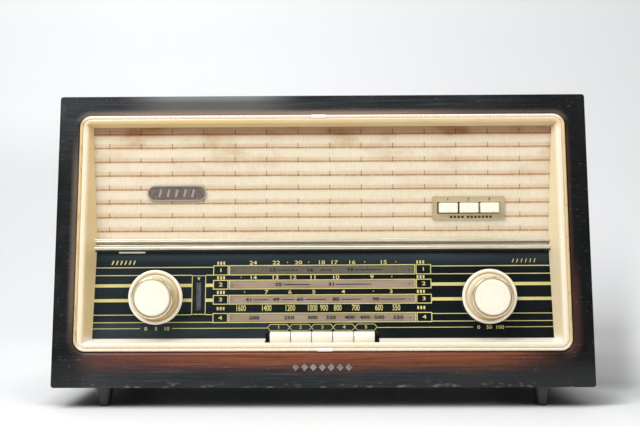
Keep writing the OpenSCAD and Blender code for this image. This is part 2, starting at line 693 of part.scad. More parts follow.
// Cord drum: a grooved rim on a spoked disc
module cord_drum() color("#d6c8a0") place() translate([drum_x, cord_y, drum_z]) rotate([-90, 0, 0])
    difference() {
        rotate_extrude() polygon([[shaft_r, -drum_t / 2], [9, -drum_t / 2], [9, -1.2], [drum_path_r - 8, -1.2],
            [drum_path_r - 8, -2.6], [drum_path_r + drum_flange, -2.6], [drum_groove_r, -0.7],
            [drum_groove_r, 0.7], [drum_path_r + drum_flange, 2.6], [drum_path_r - 8, 2.6],
            [drum_path_r - 8, 1.2], [9, 1.2], [9, drum_t / 2], [shaft_r, drum_t / 2]]);
        for (i = [0:4]) rotate(72 * i + 20) translate([drum_path_r * 0.52, 0, -5])
            cylinder(r = drum_path_r * 0.2, h = 10);
    }

// A grooved idler on a stud
module idler(i) color("#c4b080") place() translate([loop[i][0], cord_y, loop[i][1]]) rotate([-90, 0, 0])
    rotate_extrude() polygon([[stud_r + run_gap, -pulley_half], [pulley_path_r + 2, -pulley_half],
        [pulley_path_r - cord_r - cord_gap, -0.7], [pulley_path_r - cord_r - cord_gap, 0.7],
        [pulley_path_r + 2, pulley_half], [stud_r + run_gap, pulley_half]]);

// Angle of the outer tangent from circle i to circle i + 1
function lean_of(i) = let (a = loop[i], b = loop[(i + 1) % len(loop)], d = [b[0] - a[0], b[1] - a[1]])
    atan2(d[1], d[0]) + acos((a[2] - b[2]) / norm(d));
function on_circle(i, ang) = [loop[i][0] + loop[i][2] * cos(ang), loop[i][1] + loop[i][2] * sin(ang)];

// The drive cord: straight runs between the wheels and an arc round each
module drive_cord() color("#3c2e22") place() translate([0, cord_y, 0]) rotate([90, 0, 0])
    for (i = [0:len(loop) - 1]) {
        j = (i + 1) % len(loop);
        a = lean_of(i);
        b = lean_of(j);
        p = on_circle(i, a);
        q = on_circle(j, a);
        turn = ((a - b) % 360 + 360) % 360;
        translate([p[0], p[1], 0]) rotate([0, 0, atan2(q[1] - p[1], q[0] - p[0])]) rotate([0, 90, 0])
            translate([0, 0, -0.2]) cylinder(r = cord_r - 0.05, h = norm(q - p) + 0.4);
        translate([loop[j][0], loop[j][1], 0]) rotate([0, 0, a - turn])
            rotate_extrude(angle = turn) translate([loop[j][2], 0]) circle(cord_r);
    }

module pointer_rail() color("#c8ccd0") place() translate([-lug_x - 5, cord_y, rod_z]) rotate([0, 90, 0])
    cylinder(r = rod_r, h = 2 * lug_x + 10);

// Pointer: a carriage on the rail, an arm over the scale plate and a needle behind the glass
module dial_pointer() color("#2e2422") place() translate([pointer_x, 0, 0]) {
    difference() {
        box_xyz(-carriage_half, carriage_half, cord_y - 4, cord_y + 4, run_z - 2.4, rod_z + rod_r + 2.2);
        translate([-20, cord_y, rod_z]) rotate([0, 90, 0]) cylinder(r = rod_r + run_gap, h = 40);
        translate([-20, cord_y, run_z]) rotate([0, 90, 0]) cylinder(r = cord_r + 0.6, h = 40);
    }
    box_xyz(-2, 2, needle_y(arm_z) - 0.4, cord_y - 3.9, arm_z, arm_z + 1.4);
    on_glass() translate([-0.7, 8, -glass_t - 3.4]) cube([1.4, needle_top - 8, 0.8]);
}
function needle_y(z) = glass_y(z) + glass_t + 2.4;

// Two dial lamps that shine in from the ends of the scale
module dial_lamps() color("#e8dcb0", 0.8) place()
    on_glass() for (s = [-1, 1]) translate([s * (plate_half - plate_t), dial_h * 0.5, -glass_t - light_gap / 2])
        rotate([0, -90 * s, 0]) {
            cylinder(r = 4.4, h = 8);
            translate([0, 0, 7.9]) cylinder(r = 3.6, h = 5);
            translate([0, 0, 12.9]) sphere(r = 3.6);
        }

module tuning_eye() color("#b8d0c8", 0.7) place() translate([eye_x, eye_socket_y, eye_z0 - 2])
    noval_tube(eye_r, eye_h);

module volume_control() color("#8c8478") place() translate([-knob_x, 0, knob_z]) difference() {
    union() {
        rod_y(14, dial_frame_y - 13, dial_frame_y);
        rod_y(5, dial_frame_y - 22, dial_frame_y - 12.9);
        box_xyz(-7, 7, dial_frame_y - 8, dial_frame_y - 6.5, -21, -12);
    }
    rod_y(shaft_r + run_gap, dial_frame_y - 25, dial_frame_y - 4);
}

// Key rack: a channel on the cabinet's floor that holds the keys' pivot rod
module key_rack() color("#9aa0a4") place() {
    box_xyz(-key_notch_half, key_notch_half, key_axis_y - 10, key_axis_y + 9, wall_t, wall_t + sheet_t);
    for (s = [-1, 1]) translate([s * (key_notch_half - sheet_t / 2), 0, 0]) difference() {
        box_xyz(-sheet_t / 2, sheet_t / 2, key_axis_y - 10, key_axis_y + 9, wall_t, key_axis_z + 7);
        translate([-3, key_axis_y, key_axis_z]) rotate([0, 90, 0]) cylinder(r = key_rod_r, h = 6);
    }
}
module key_pivot_rod() color("#c8ccd0") place() translate([-key_notch_half - 1, key_axis_y, key_axis_z])
    rotate([0, 90, 0]) cylinder(r = key_rod_r, h = 2 * key_notch_half + 2);

// One band key: a rounded cap in front of the glass and an arm back to the rod
module band_key(i) color("#f4efe0") place() translate([(i - (KEYS + 1) / 2) * key_pitch, 0, 0])
    difference() {
        union() {
            across(key_pitch - key_gap) polygon(concat(
                [[key_cap_y, key_cap_z0], [key_cap_y, key_cap_z1 - 7]],
                arc(key_cap_y + 6.4, key_cap_z1 - 6.6, 6.5, 176, 96, 8),
                [[key_cap_y + 8.2, key_cap_z1], [key_cap_y + 8.6, key_cap_z0]]));
            across(key_pitch * 0.5) polygon([[key_cap_y + 6, key_axis_z - key_arm_h / 2],
                [key_axis_y + 6, key_axis_z - key_arm_h / 2], [key_axis_y + 6, key_axis_z + key_arm_h / 2],
                [key_cap_y + 6, key_axis_z + key_arm_h / 2]]);
        }
        translate([-key_pitch, key_axis_y, key_axis_z]) rotate([0, 90, 0])
            cylinder(r = key_rod_r + run_gap, h = 2 * key_pitch);
        box_xyz(-key_pitch, key_pitch, key_cap_y + 1.8, key_cap_y + 5.6, key_cap_z0 - 1, key_axis_z - 4);
    }

// Slide switch under the deck, behind the keys
module band_switch() color("#7a5a34") place() {
    box_xyz(-key_notch_half, key_notch_half, chassis_y0 + sheet_t, chassis_y0 + 60, deck_z - 22, deck_z - 10);
    for (s = [-1, 1]) translate([s * (key_notch_half - 4), 0, 0])
        box_xyz(-4, 4, chassis_y0 + 6, chassis_y0 + 54, deck_z - 10 - eps, deck_z - sheet_t);
}

// Speaker: a round pressed basket, a paper cone and a ring magnet
module speaker_place() translate([spk_x, baffle_back, spk_z]) rotate([-90, 0, 0]) children();
module speaker_basket() color("#5a5e60") place() speaker_place() difference() {
    rotate_extrude() polygon([[spk_r - 9, 0], [spk_r, 0], [spk_r, 2], [spk_r - 6, 2], [spk_r - 8, 9],
        [28, spk_depth - 6], [28, spk_depth], [14, spk_depth], [14, spk_depth - 1.6],
        [26.4, spk_depth - 1.6], [26.4, spk_depth - 6.6], [spk_r - 9.6, 8.2], [spk_r - 9, 1]]);
    for (a = [45:90:315]) rotate(a) translate([0, -11, 0]) box_xyz(24, spk_r - 12, 0, 22, 12, spk_depth - 9);
}
module speaker_cone() color("#4a4038") place() speaker_place() rotate_extrude()
    polygon([[spk_r - 10, 1], [spk_r - 12, 0.4], [spk_r - 15, 2.4], [13.4, 33], [13.4, 46], [12.4, 46],
        [12.4, 35.5], [0, 30], [0, 29], [12.2, 34], [spk_r - 15.6, 1.4], [spk_r - 12, -0.6], [spk_r - 10, 0]]);
module speaker_magnet() color("#3c3c3e") place() speaker_place() {
    translate([0, 0, spk_depth]) difference() {
        cylinder(r = 30, h = 17);
        translate([0, 0, -1]) cylinder(r = 15.5, h = 13);
    }
    translate([0, 0, spk_depth + 1.5]) cylinder(r = 11.6, h = 12);
}
// Output transformer, on the deck beside the speaker
module output_transformer() color("#544a42") place() translate([-chassis_half + 40.4, chassis_y0 + 84, deck_z]) {
    difference() {
        box_xyz(-24, 24, -12, 12, 0, 40);
        for (s = [-1, 1]) translate([s * 12, 0, 0]) box_xyz(-4, 4, -13, 13, 8, 32);
    }
    difference() {
        box_xyz(-15.8, 15.8, -19, 19, 8.2, 31.8);
        box_xyz(-8, 8, -12.1, 12.1, 0, 40);
        for (s = [-1, 1]) translate([s * 20, 0, 0]) box_xyz(-4, 4, -12.1, 12.1, 0, 40);
    }
}

// Ferrite rod aerial with its coil, hung from the top panel
module ferrite_aerial() color("#4a4642") place() translate([aerial_x, aerial_y, aerial_z]) {
    rotate([0, 90, 0]) cylinder(r = 5, h = 150, center = true);
    rotate([0, 90, 0]) difference() {
        cylinder(r = 8, h = 40, center = true);
        cylinder(r = 5, h = 41, center = true);
    }
    for (x = [-60, 60]) difference() {
        translate([x, 0, 0]) box_xyz(-3, 3, -8, 8, -9, inside_top - aerial_z);
        rotate([0, 90, 0]) cylinder(r = 5, h = 151, center = true);
    }
}

// Rear: sockets, back cover, grommet and screws

// Four insulated socket bushings, pressed into the rear apron of the chassis
module rear_sockets() color("#5c3c24") place() at_jacks() difference() {
    union() {
        rod_y(jack_r + jack_wall, apron_y1 - 4, jack_y1);
        rod_y(jack_r + jack_wall + 3.4, apron_y1, apron_y1 + 2);
    }
    rod_y(jack_r, jack_y1 - jack_l, cab_d);
}
module at_jacks() for (i = [0:3]) translate([jack_x + (i - 1.5) * jack_pitch, 0, jack_z]) children();

module slot_row(z, half, l) for (x = [-half:20:half]) translate([x, z]) rotate(90) stadium(l, slot_w);
module back_cover() color("#7a5c3c") place() translate([0, cab_d, 0]) rotate([90, 0, 0])
    linear_extrude(back_t) difference() {
        translate([0, (wall_t + inside_top) / 2])
            rounded_rect(2 * (inside_half + ledge_w - 0.6), inside_top - wall_t + 2 * (ledge_w - 0.6), 2);
        slot_row(inside_top - 36, 220, slot_l);
        slot_row(inside_top - 36 - slot_l - 10, 220, slot_l);
        slot_row(deck_z + 34, 220, slot_l);
        translate([jack_x, jack_z]) square([jack_pitch * 4 + 18, 28], center = true);
        translate([grommet_x, jack_z]) circle(grommet_seat_r);
        for (p = back_screw_places) translate([p[0], p[1]]) circle(screw_r + 0.2);
    }

module cord_grommet() color("#2c2a28") place() translate([grommet_x, cab_d, jack_z]) rotate([90, 0, 0])
    translate([0, 0, back_t / 2]) rotate_extrude() polygon([[grommet_r, -back_t / 2 - 1.8],
        [grommet_seat_r + 1, -back_t / 2 - 1.8], [grommet_seat_r + 2.4, -back_t / 2], [grommet_seat_r, -back_t / 2],
        [grommet_seat_r, back_t / 2], [grommet_seat_r + 2.4, back_t / 2],
        [grommet_seat_r + 1, back_t / 2 + 3], [grommet_r, back_t / 2 + 3]]);

module screw() {
    cylinder(r = screw_r, h = screw_l);
    mirror([0, 0, 1]) rotate_extrude() polygon([[0, 0], [3.6, 0], [3.4, 0.9], [2.2, screw_head_h], [0, screw_head_h]]);
}
module case_screws() color("#b8a878") place() for (p = back_screw_places)
    translate([p[0], cab_d, p[1]]) rotate([90, 0, 0]) screw();

module feet() color("#1c1c1c") place() for (p = foot_places) translate([p[0], p[1], -foot_h])
    rotate_extrude() polygon(concat([[0, 0]], arc(foot_r * 0.65 - 2, 2, 2, -90, 0, 5),
        [[foot_r, foot_h], [foot_pin_r, foot_h], [foot_pin_r, foot_h + foot_pin_h], [0, foot_h + foot_pin_h]]));

// Knobs and their shafts

module volume_shaft() color("#c8ccd0") place() translate([-knob_x, 0, knob_z])
    rod_y(shaft_r, knob_face_y + 6, dial_frame_y - 4.5);

module tuning_shaft() color("#c8ccd0") place() translate([knob_x, 0, knob_z]) {
    rod_y(shaft_r, knob_face_y + 6, cord_y + 6);
    translate([0, cord_y, 0]) rotate([-90, 0, 0]) rotate_extrude() polygon([[shaft_r - 1, -3.5],
        [spool_path_r + 2, -3.5], [spool_path_r - cord_r - cord_gap, -1], [spool_path_r - cord_r - cord_gap, 1],
        [spool_path_r + 2, 3.5], [shaft_r - 1, 3.5]]);
    translate([0, dial_frame_y - 14, 0]) rotate([-90, 0, 0]) rotate_extrude() polygon([[shaft_r - 1, 0],
        [20, 0], [20, 7], [15, 7], [14, 3], [8, 3], [8, 8], [shaft_r - 1, 8]]);
}

// Half section of a knob: a lipped skirt, a cone, a collar with its metal ring, and a domed cap
function knob_section() = concat(
    [[shaft_r, 0.5], [shaft_r + 4, 0.5], [shaft_r + 4, 2], [knob_r - 2.4, 2], [knob_r - 0.5, 2.6]],
    arc(knob_r - skirt_lip_r, 4.4, skirt_lip_r, -20, 160, 8),
    [[knob_r - 3.6, 3.8], [ring_r + 1.8, 5], [ring_r + 0.7, 8], [ring_r, 12], [ring_r, knob_h - 6],
        [cap_r + ring_gap, knob_h - 6], [cap_r + ring_gap, knob_h - 4], [cap_r, knob_h - 4],
        [cap_r, knob_h - 1.8], [knob_face_r, knob_h - 0.7]],
    [for (i = [1:6]) [knob_face_r * (1 - i / 6), knob_h - 0.7 * (1 - sin(15 * i))]],
    [[0, knob_h - 6], [shaft_r, knob_h - 6]]);
module knob(x) translate([x, knob_back_y, knob_z]) rotate([90, 0, 0]) rotate_extrude() polygon(knob_section());
module knob_ring(x) translate([x, knob_back_y, knob_z]) rotate([90, 0, 0]) rotate_extrude()
    polygon([[cap_r + ring_gap, knob_h - 6], [ring_r, knob_h - 6], [ring_r, knob_h - 2.6],
        [ring_r - 0.3, knob_h - 1.9], [cap_r + ring_gap, knob_h - 1.7]]);
module volume_knob() color("#f2ead2") place() knob(-knob_x);
module tuning_knob() color("#f2ead2") place() knob(knob_x);
module volume_knob_ring() color("#c9b98a") place() knob_ring(-knob_x);
module tuning_knob_ring() color("#c9b98a") place() knob_ring(knob_x);

cabinet_case();
front_frame();
front_bezel();
trim_bead();
bead_joiners();
baffle_board();
grille_cloth();
dial_rail();
dial_glass();
scale_plate();
dial_frame();
tuning_bush();
badge_plate();
front_ornament();
tone_plate();
tone_switch();
chassis();
key_rack();
key_pivot_rod();
band_switch();
volume_control();
pointer_rail();
drive_cord();
dial_lamps();
tuning_eye();
speaker_basket();
speaker_cone();
speaker_magnet();
output_transformer();
mains_transformer();
radio_tubes();
tube_sockets();
if_cans();
filter_capacitor();
capacitor_stator();
ferrite_aerial();
rear_sockets();
back_cover();
case_screws();
cord_grommet();
feet();
volume_shaft();
volume_knob();
volume_knob_ring();
tuning_shaft();
tuning_knob();
tuning_knob_ring();
dial_pointer();
cord_drum();
capacitor_rotor();
idler(0);  // pulley_left
idler(1);  // pulley_right
band_key(1);  // band_key_1
band_key(2);  // band_key_2
band_key(3);  // band_key_3
band_key(4);  // band_key_4
band_key(5);  // band_key_5
tone_button(1);  // tone_button_1
tone_button(2);  // tone_button_2
tone_button(3);  // tone_button_3
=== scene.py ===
"""Looks of a tube table radio: lacquered veneer, cream surround, grille cloth, printed dial and knobs."""

import math

import bmesh
import bpy
from bpy.props import FloatProperty, FloatVectorProperty, IntProperty, PointerProperty
from mathutils import Matrix, Vector


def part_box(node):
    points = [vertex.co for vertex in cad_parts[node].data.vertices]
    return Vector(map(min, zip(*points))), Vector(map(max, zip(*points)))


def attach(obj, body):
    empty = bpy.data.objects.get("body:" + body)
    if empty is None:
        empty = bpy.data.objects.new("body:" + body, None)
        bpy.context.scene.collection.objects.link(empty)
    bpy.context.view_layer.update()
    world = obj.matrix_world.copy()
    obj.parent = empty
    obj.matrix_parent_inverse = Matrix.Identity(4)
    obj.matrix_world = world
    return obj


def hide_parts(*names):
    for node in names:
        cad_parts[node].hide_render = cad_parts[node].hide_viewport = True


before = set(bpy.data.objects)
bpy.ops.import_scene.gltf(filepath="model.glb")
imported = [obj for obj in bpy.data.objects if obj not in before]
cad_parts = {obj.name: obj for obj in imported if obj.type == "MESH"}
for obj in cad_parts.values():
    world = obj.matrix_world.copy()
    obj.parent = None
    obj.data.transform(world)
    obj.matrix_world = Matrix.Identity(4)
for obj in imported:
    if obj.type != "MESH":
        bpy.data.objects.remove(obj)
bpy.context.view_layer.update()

bl_info = {
    "name": "Tube table radio",
    "version": (1, 0, 0),
    "blender": (4, 5, 0),
    "location": "View3D > Sidebar > Radio",
    "description": "Builds the pieces, finishes, studio and camera of a tube table radio",
    "category": "Object",
}

# Depths and heights are millimetres from the cabinet's lower front edge, until a plane brings them into the
# frame. Leans are degrees.
MM = 0.001
MID_DEPTH = 119.45
FOOT_HEIGHT = 22.0
FRONT_LEAN = 5.3
GLASS_LEAN = 7.49
# Depth and height of the glass's lower edge.
GLASS_FOOT = (20.735, 48.137)
# Outline of the bead round the surround, in the frame: half width, middle height, half height, corner radius.
RIM_EDGE = (258.4, 182.85, 124.35, 12.0)


def paint(code):
    """Linear colour of a web colour code such as d8cc8a."""
    parts = [int(code[i:i + 2], 16) / 255 for i in (0, 2, 4)]
    linear = [c / 12.92 if c <= 0.04045 else ((c + 0.055) / 1.055) ** 2.4 for c in parts]
    return (*linear, 1.0)


def leaning_plane(depth, height, lean):
    """Matrix from millimetres on a leaning plane (across, up, out to the viewer) to the frame."""
    place = Vector((0, depth - MID_DEPTH, height + FOOT_HEIGHT)) * MM
    return Matrix.Translation(place) @ Matrix.Rotation(math.radians(90 - lean), 4, "X") @ Matrix.Scale(MM, 4)


# The print sits a little high on the glass, and a touch askew.
PRINT_PLANE = (leaning_plane(*GLASS_FOOT, GLASS_LEAN) @ Matrix.Translation((0, 0.5, 0))
               @ Matrix.Rotation(math.radians(0.14), 4, "Z"))


def on_glass(height):
    """Distance up the leaning glass of a height above the cabinet's bottom."""
    return (height - GLASS_FOOT[1]) / math.cos(math.radians(GLASS_LEAN))


# Finishes


class Field:
    """A number or colour that varies over a surface. Arithmetic on it adds math nodes."""

    def __init__(self, finish, socket):
        self.finish = finish
        self.socket = socket

    def math(self, operation, *others):
        return self.finish.add("ShaderNodeMath", self, *others, operation=operation)

    def __add__(self, other):
        return self.math("ADD", other)

    def __sub__(self, other):
        return self.math("SUBTRACT", other)

    def __mul__(self, other):
        return self.math("MULTIPLY", other)

    def __truediv__(self, other):
        return self.math("DIVIDE", other)

    def __mod__(self, other):
        return self.math("FLOORED_MODULO", other)

    def __abs__(self):
        return self.math("ABSOLUTE")

    def upper(self, other):
        return self.math("MAXIMUM", other)

    def rise(self, low, high):
        """0 on the side of low and 1 on the side of high, with a soft step between them."""
        return self.finish.add("ShaderNodeMapRange", self, low, high, interpolation_type="SMOOTHSTEP")

    def near(self, centre, half, soft):
        """1 within half of centre, falling to 0 over soft."""
        return abs(self - centre).rise(half + soft, half)


class Finish:
    """A Principled material and the nodes that drive it, in millimetres of Object coordinates."""

    SOCKETS = {"colour": "Base Color", "specular": "Specular IOR Level"}

    def __init__(self, name, **sockets):
        self.material = bpy.data.materials.new(name)
        self.material.use_nodes = True
        self.tree = self.material.node_tree
        self.tree.nodes.clear()
        self.shader = self.tree.nodes.new("ShaderNodeBsdfPrincipled")
        surface = self.tree.nodes.new("ShaderNodeOutputMaterial").inputs["Surface"]
        self.tree.links.new(self.shader.outputs["BSDF"], surface)
        place = self.tree.nodes.new("ShaderNodeTexCoord").outputs["Object"]
        self.place = self.add("ShaderNodeMapping", Field(self, place), None, None, (MM, MM, MM),
                              vector_type="TEXTURE")
        apart = self.tree.nodes.new("ShaderNodeSeparateXYZ")
        self.tree.links.new(self.place.socket, apart.inputs[0])
        self.x, self.y, self.z = (Field(self, socket) for socket in apart.outputs)
        self.set(**sockets)

    def feed(self, socket, value):
        if isinstance(value, Field):
            self.tree.links.new(value.socket, socket)
        elif value is not None:
            socket.default_value = value

    def add(self, kind, *inputs, **settings):
        node = self.tree.nodes.new(kind)
        for setting, value in settings.items():
            setattr(node, setting, value)
        for socket, value in zip(node.inputs, inputs):
            self.feed(socket, value)
        return Field(self, node.outputs[0])

    def set(self, **sockets):
        """Feeds the shader's sockets, such as colour, roughness or coat_weight."""
        for socket, value in sockets.items():
            self.feed(self.shader.inputs[self.SOCKETS.get(socket, socket.replace("_", " ").title())], value)

    def noise(self, size, detail=2.0, seed=0.0):
        """Noise about one half, with features of about size = (x, y, z) millimetres."""
        place = self.add("ShaderNodeMapping", self.place, (seed, seed, seed), None, size,
                         vector_type="TEXTURE")
        return self.add("ShaderNodeTexNoise", place, None, 1.0, detail)

    def ramp(self, field, *stops):
        """Colours at places from 0 to 1 of a field."""
        ramp = self.add("ShaderNodeValToRGB", field)
        elements = ramp.socket.node.color_ramp.elements
        while len(elements) < len(stops):
            elements.new(1.0)
        for element, (place, colour) in zip(elements, stops):
            element.position = place
            element.color = colour
        return ramp

    def mix(self, amount, first, second, blend="MIX"):
        return self.add("ShaderNodeMixRGB", amount, first, second, blend_type=blend)

    def relief(self, height):
        """Raises the surface by a field of millimetres."""
        bump = self.tree.nodes.new("ShaderNodeBump")
        bump.inputs["Distance"].default_value = MM
        self.feed(bump.inputs["Height"], height)
        self.feed(self.shader.inputs["Normal"], Field(self, bump.outputs["Normal"]))


def beyond(finish, edge):
    """How far a place on the front lies outside a rounded outline such as RIM_EDGE."""
    half, middle, rise, radius = edge
    across = (abs(finish.x) - (half - radius)).upper(0.0)
    along = (abs(finish.z - middle) - (rise - radius)).upper(0.0)
    return (across * across + along * along).math("SQRT") - radius


def tinted(colour, factor):
    """A colour made darker or lighter by a factor."""
    return (*(min(1.0, part * factor) for part in colour[:3]), 1.0)


def worked(name, colour, roughness, metallic=0.0, grain=(3, 3, 3), spread=0.12, depth=0.02, **sockets):
    """A plain worked surface: uneven colour and gloss, and a grain of its own size and depth."""
    finish = Finish(name, metallic=metallic, **sockets)
    coarse = finish.noise([20 * size for size in grain], 3.0)
    fine = finish.noise(grain, 3.0, seed=7.0)
    shade = coarse * 0.6 + fine * 0.4
    finish.set(
        colour=finish.ramp(shade, (0.3, tinted(colour, 1 - spread)), (0.7, tinted(colour, 1 + spread))),
        roughness=shade.rise(0.25, 0.75) * 0.16 + (roughness - 0.08),
    )
    finish.relief(fine * depth)
    return finish


# Meshes


def add_piece(name, bm, finishes, body, replaces=(), sharp=32.0):
    """Makes an object of a bmesh, smooth but for its sharp edges, that rides on a body."""
    for face in bm.faces:
        face.smooth = True
    for edge in bm.edges:
        edge.smooth = edge.calc_face_angle(math.pi) < math.radians(sharp)
    mesh = bpy.data.meshes.new(name)
    bm.to_mesh(mesh)
    bm.free()
    for finish in finishes:
        mesh.materials.append(finish.material)
    piece = bpy.data.objects.new(name, mesh)
    bpy.context.scene.collection.objects.link(piece)
    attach(piece, body)
    if replaces:
        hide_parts(*replaces)
    return piece


def merged(node):
    """A bmesh of a CAD node with its loose triangles joined."""
    bm = bmesh.new()
    bm.from_mesh(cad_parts[node].data)
    bmesh.ops.remove_doubles(bm, verts=bm.verts, dist=2e-6)
    return bm


def dress(node, name, finish, body="cabinet", sharp=32.0, bm=None):
    """Stands a smoothly shaded copy, or a bmesh made of one, in for a CAD node."""
    piece = add_piece(name, bm or merged(node), [finish], body, [node], sharp)
    flats = piece.modifiers.new("Even flats", "WEIGHTED_NORMAL")
    flats.keep_sharp = True
    return piece


def turned(profile, place, segments):
    """A bmesh of a profile of (radius, height) millimetres turned about an axis that points to the viewer."""
    bm = bmesh.new()
    verts = [bm.verts.new((radius * MM, -height * MM, 0)) for radius, height in profile]
    edges = [bm.edges.new(pair) for pair in zip(verts, verts[1:])]
    bmesh.ops.spin(bm, geom=verts + edges, cent=(0, 0, 0), axis=(0, 1, 0), angle=math.tau, steps=segments,
                   use_merge=True)
    bmesh.ops.remove_doubles(bm, verts=bm.verts, dist=1e-6)
    bmesh.ops.recalc_face_normals(bm, faces=bm.faces)
    bmesh.ops.translate(bm, verts=bm.verts, vec=place)
    return bm


def soften(bm, width, least_angle):
    """Bevels the edges sharper than an angle in degrees by a width in millimetres."""
    edges = [edge for edge in bm.edges if edge.calc_face_angle(0) > math.radians(least_angle)]
    bmesh.ops.bevel(bm, geom=edges, offset=width * MM, offset_type="OFFSET", segments=2, profile=0.5,
                    affect="EDGES", material=-1, clamp_overlap=True)


def arc(centre, radius, start, end, count):
    """Points of an arc between two angles in degrees."""
    angles = [math.radians(start + (end - start) * i / count) for i in range(count + 1)]
    return [(centre[0] + radius * math.cos(a), centre[1] + radius * math.sin(a)) for a in angles]


class Print:
    """Thin printed marks on a plane, gathered in one mesh."""

    THICKNESS = 0.05
    # Height of a figure as a share of its font's size.
    FIGURE_HEIGHT = 0.69

    def __init__(self, plane, lift=0.03):
        self.plane = plane @ Matrix.Translation((0, 0, lift))
        self.bm = bmesh.new()

    def bar(self, x0, x1, y0, y1):
        size = Matrix.Diagonal((x1 - x0, y1 - y0, self.THICKNESS, 1))
        middle = Matrix.Translation(((x0 + x1) / 2, (y0 + y1) / 2, self.THICKNESS / 2))
        bmesh.ops.create_cube(self.bm, size=1, matrix=self.plane @ middle @ size)

    def line(self, start, end, width):
        run = Vector(end) - Vector(start)
        turn = Matrix.Rotation(math.atan2(run.y, run.x), 4, "Z")
        size = Matrix.Diagonal((run.length + width * 0.6, width, self.THICKNESS, 1))
        middle = Matrix.Translation((*((Vector(start) + Vector(end)) / 2), self.THICKNESS / 2))
        bmesh.ops.create_cube(self.bm, size=1, matrix=self.plane @ middle @ turn @ size)

    def box(self, x0, x1, y0, y1, width):
        self.bar(x0, x1, y0, y0 + width)
        self.bar(x0, x1, y1 - width, y1)
        self.bar(x0, x0 + width, y0 + width, y1 - width)
        self.bar(x1 - width, x1, y0 + width, y1 - width)

    def dot(self, x, y, radius, corners=12, turn=0.0):
        place = Matrix.Translation((x, y, self.THICKNESS / 2)) @ Matrix.Rotation(math.radians(turn), 4, "Z")
        bmesh.ops.create_cone(self.bm, cap_ends=True, segments=corners, radius1=radius, radius2=radius,
                              depth=self.THICKNESS, matrix=self.plane @ place)

    def figures(self, text, x, y, height, stretch=1.0, weight=0.012):
        """Plain figures centred on a point, with strokes thickened by a share of their size."""
        curve = bpy.data.curves.new("figures", "FONT")
        curve.body = text
        curve.align_x = "CENTER"
        curve.align_y = "CENTER"
        curve.size = 1.0
        curve.offset = weight
        curve.resolution_u = 3
        curve.extrude = 0.5
        label = bpy.data.objects.new("figures", curve)
        mesh = bpy.data.meshes.new_from_object(label)
        tall = height / self.FIGURE_HEIGHT
        size = Matrix.Diagonal((tall * stretch, tall, self.THICKNESS, 1))
        mesh.transform(self.plane @ Matrix.Translation((x, y, self.THICKNESS / 2)) @ size)
        self.bm.from_mesh(mesh)
        bpy.data.meshes.remove(mesh)
        bpy.data.objects.remove(label)
        bpy.data.curves.remove(curve)

    def finish(self, name, finish):
        return add_piece(name, self.bm, [finish], "cabinet")


# Sizes and colours that a user would change


def colour_property(name, description, code):
    return FloatVectorProperty(name=name, description=description, subtype="COLOR", size=4, min=0, max=1,
                               default=paint(code))


class CabinetLook(bpy.types.PropertyGroup):
    dark: colour_property("Lacquer", "Blue-black of the lacquered veneer", "15191b")
    light: colour_property("Grain", "Lighter streaks of the grain", "34393b")
    burst: colour_property("Sunburst", "Red-brown below the opening", "82482e")
    wear: FloatProperty(name="Wear", description="Strength of scratches and chips", default=1.0, min=0, max=2)


class SurroundLook(bpy.types.PropertyGroup):
    cream: colour_property("Moulding", "Aged cream of the moulded surround", "e8d09c")
    # The right side's paler cream is painted light.
    pale: colour_property("Right side", "Paler cream of its right side", "e8d8b4")
    # Near-white that is partly bleaching and partly painted light.
    bleached: colour_property("Lower wall and crest", "Near-white of its lower wall and crest", "faf5e8")
    bead: colour_property("Bead", "Pale bead round the surround", "f2e4d0")
    grime: colour_property("Grime", "Brown dirt in the grooves", "8a5c28")


class ClothLook(bpy.types.PropertyGroup):
    ground: colour_property("Ground", "Cream of the woven ground", "e4d7bd")
    ribbon: colour_property("Ribbon", "Yellowish ribbon between two brown threads", "dfcdac")
    thread: colour_property("Thread", "Brown threads along the ribbons", "b08a64")
    stain: colour_property("Stain", "Brown stains near the top", "c4975c")
    pitch: FloatProperty(name="Ribbon pitch", description="Distance between two ribbons", default=0.01495,
                         min=0.005, max=0.05, subtype="DISTANCE", unit="LENGTH")
    rise: FloatProperty(name="Ribbon rise", description="Height of a ribbon above the ground", default=0.00035,
                        min=0, max=0.0006, subtype="DISTANCE", unit="LENGTH")


class DialLook(bpy.types.PropertyGroup):
    black: colour_property("Ground", "Near-black ground of the printed glass", "131819")
    gold: colour_property("Gold", "Gold lines and figures", "d8cc84")
    window: colour_property("Windows", "Tinted strips of the scales", "c8b299")
    figures: colour_property("Small figures", "Dark figures in the strips", "0e0a08")


class KnobLook(bpy.types.PropertyGroup):
    ivory: colour_property("Ivory", "Glossy ivory of knobs, keys and buttons", "f6efdc")
    cone: colour_property("Cone", "Tan of the recessed cone", "d9c294")
    sides: IntProperty(name="Sides", description="Sides of the turned knobs", default=128, min=32, max=256)


class StudioLook(bpy.types.PropertyGroup):
    floor: colour_property("Floor", "Pale floor and backdrop", "f4f5f6")
    key: FloatProperty(name="Key light", description="Power of the large lamp at the upper left", default=42.0,
                       min=0, subtype="POWER", unit="POWER")
    fill: FloatProperty(name="Fill light", description="Power of the lamp at the right", default=10.0, min=0,
                        subtype="POWER", unit="POWER")
    top: FloatProperty(name="Top light", description="Power of the lamp overhead", default=12.0, min=0,
                       subtype="POWER", unit="POWER")
    backdrop: FloatProperty(name="Backdrop light", description="Power of the lamp on the backdrop", default=6.5,
                            min=0, subtype="POWER", unit="POWER")
    sky: FloatProperty(name="Surround light", description="Strength of the studio's own light", default=0.6,
                       min=0, max=2)
    lens: FloatProperty(name="Lens", description="Focal length of the camera", default=50.0, min=20, max=120,
                        unit="CAMERA")


# Pieces


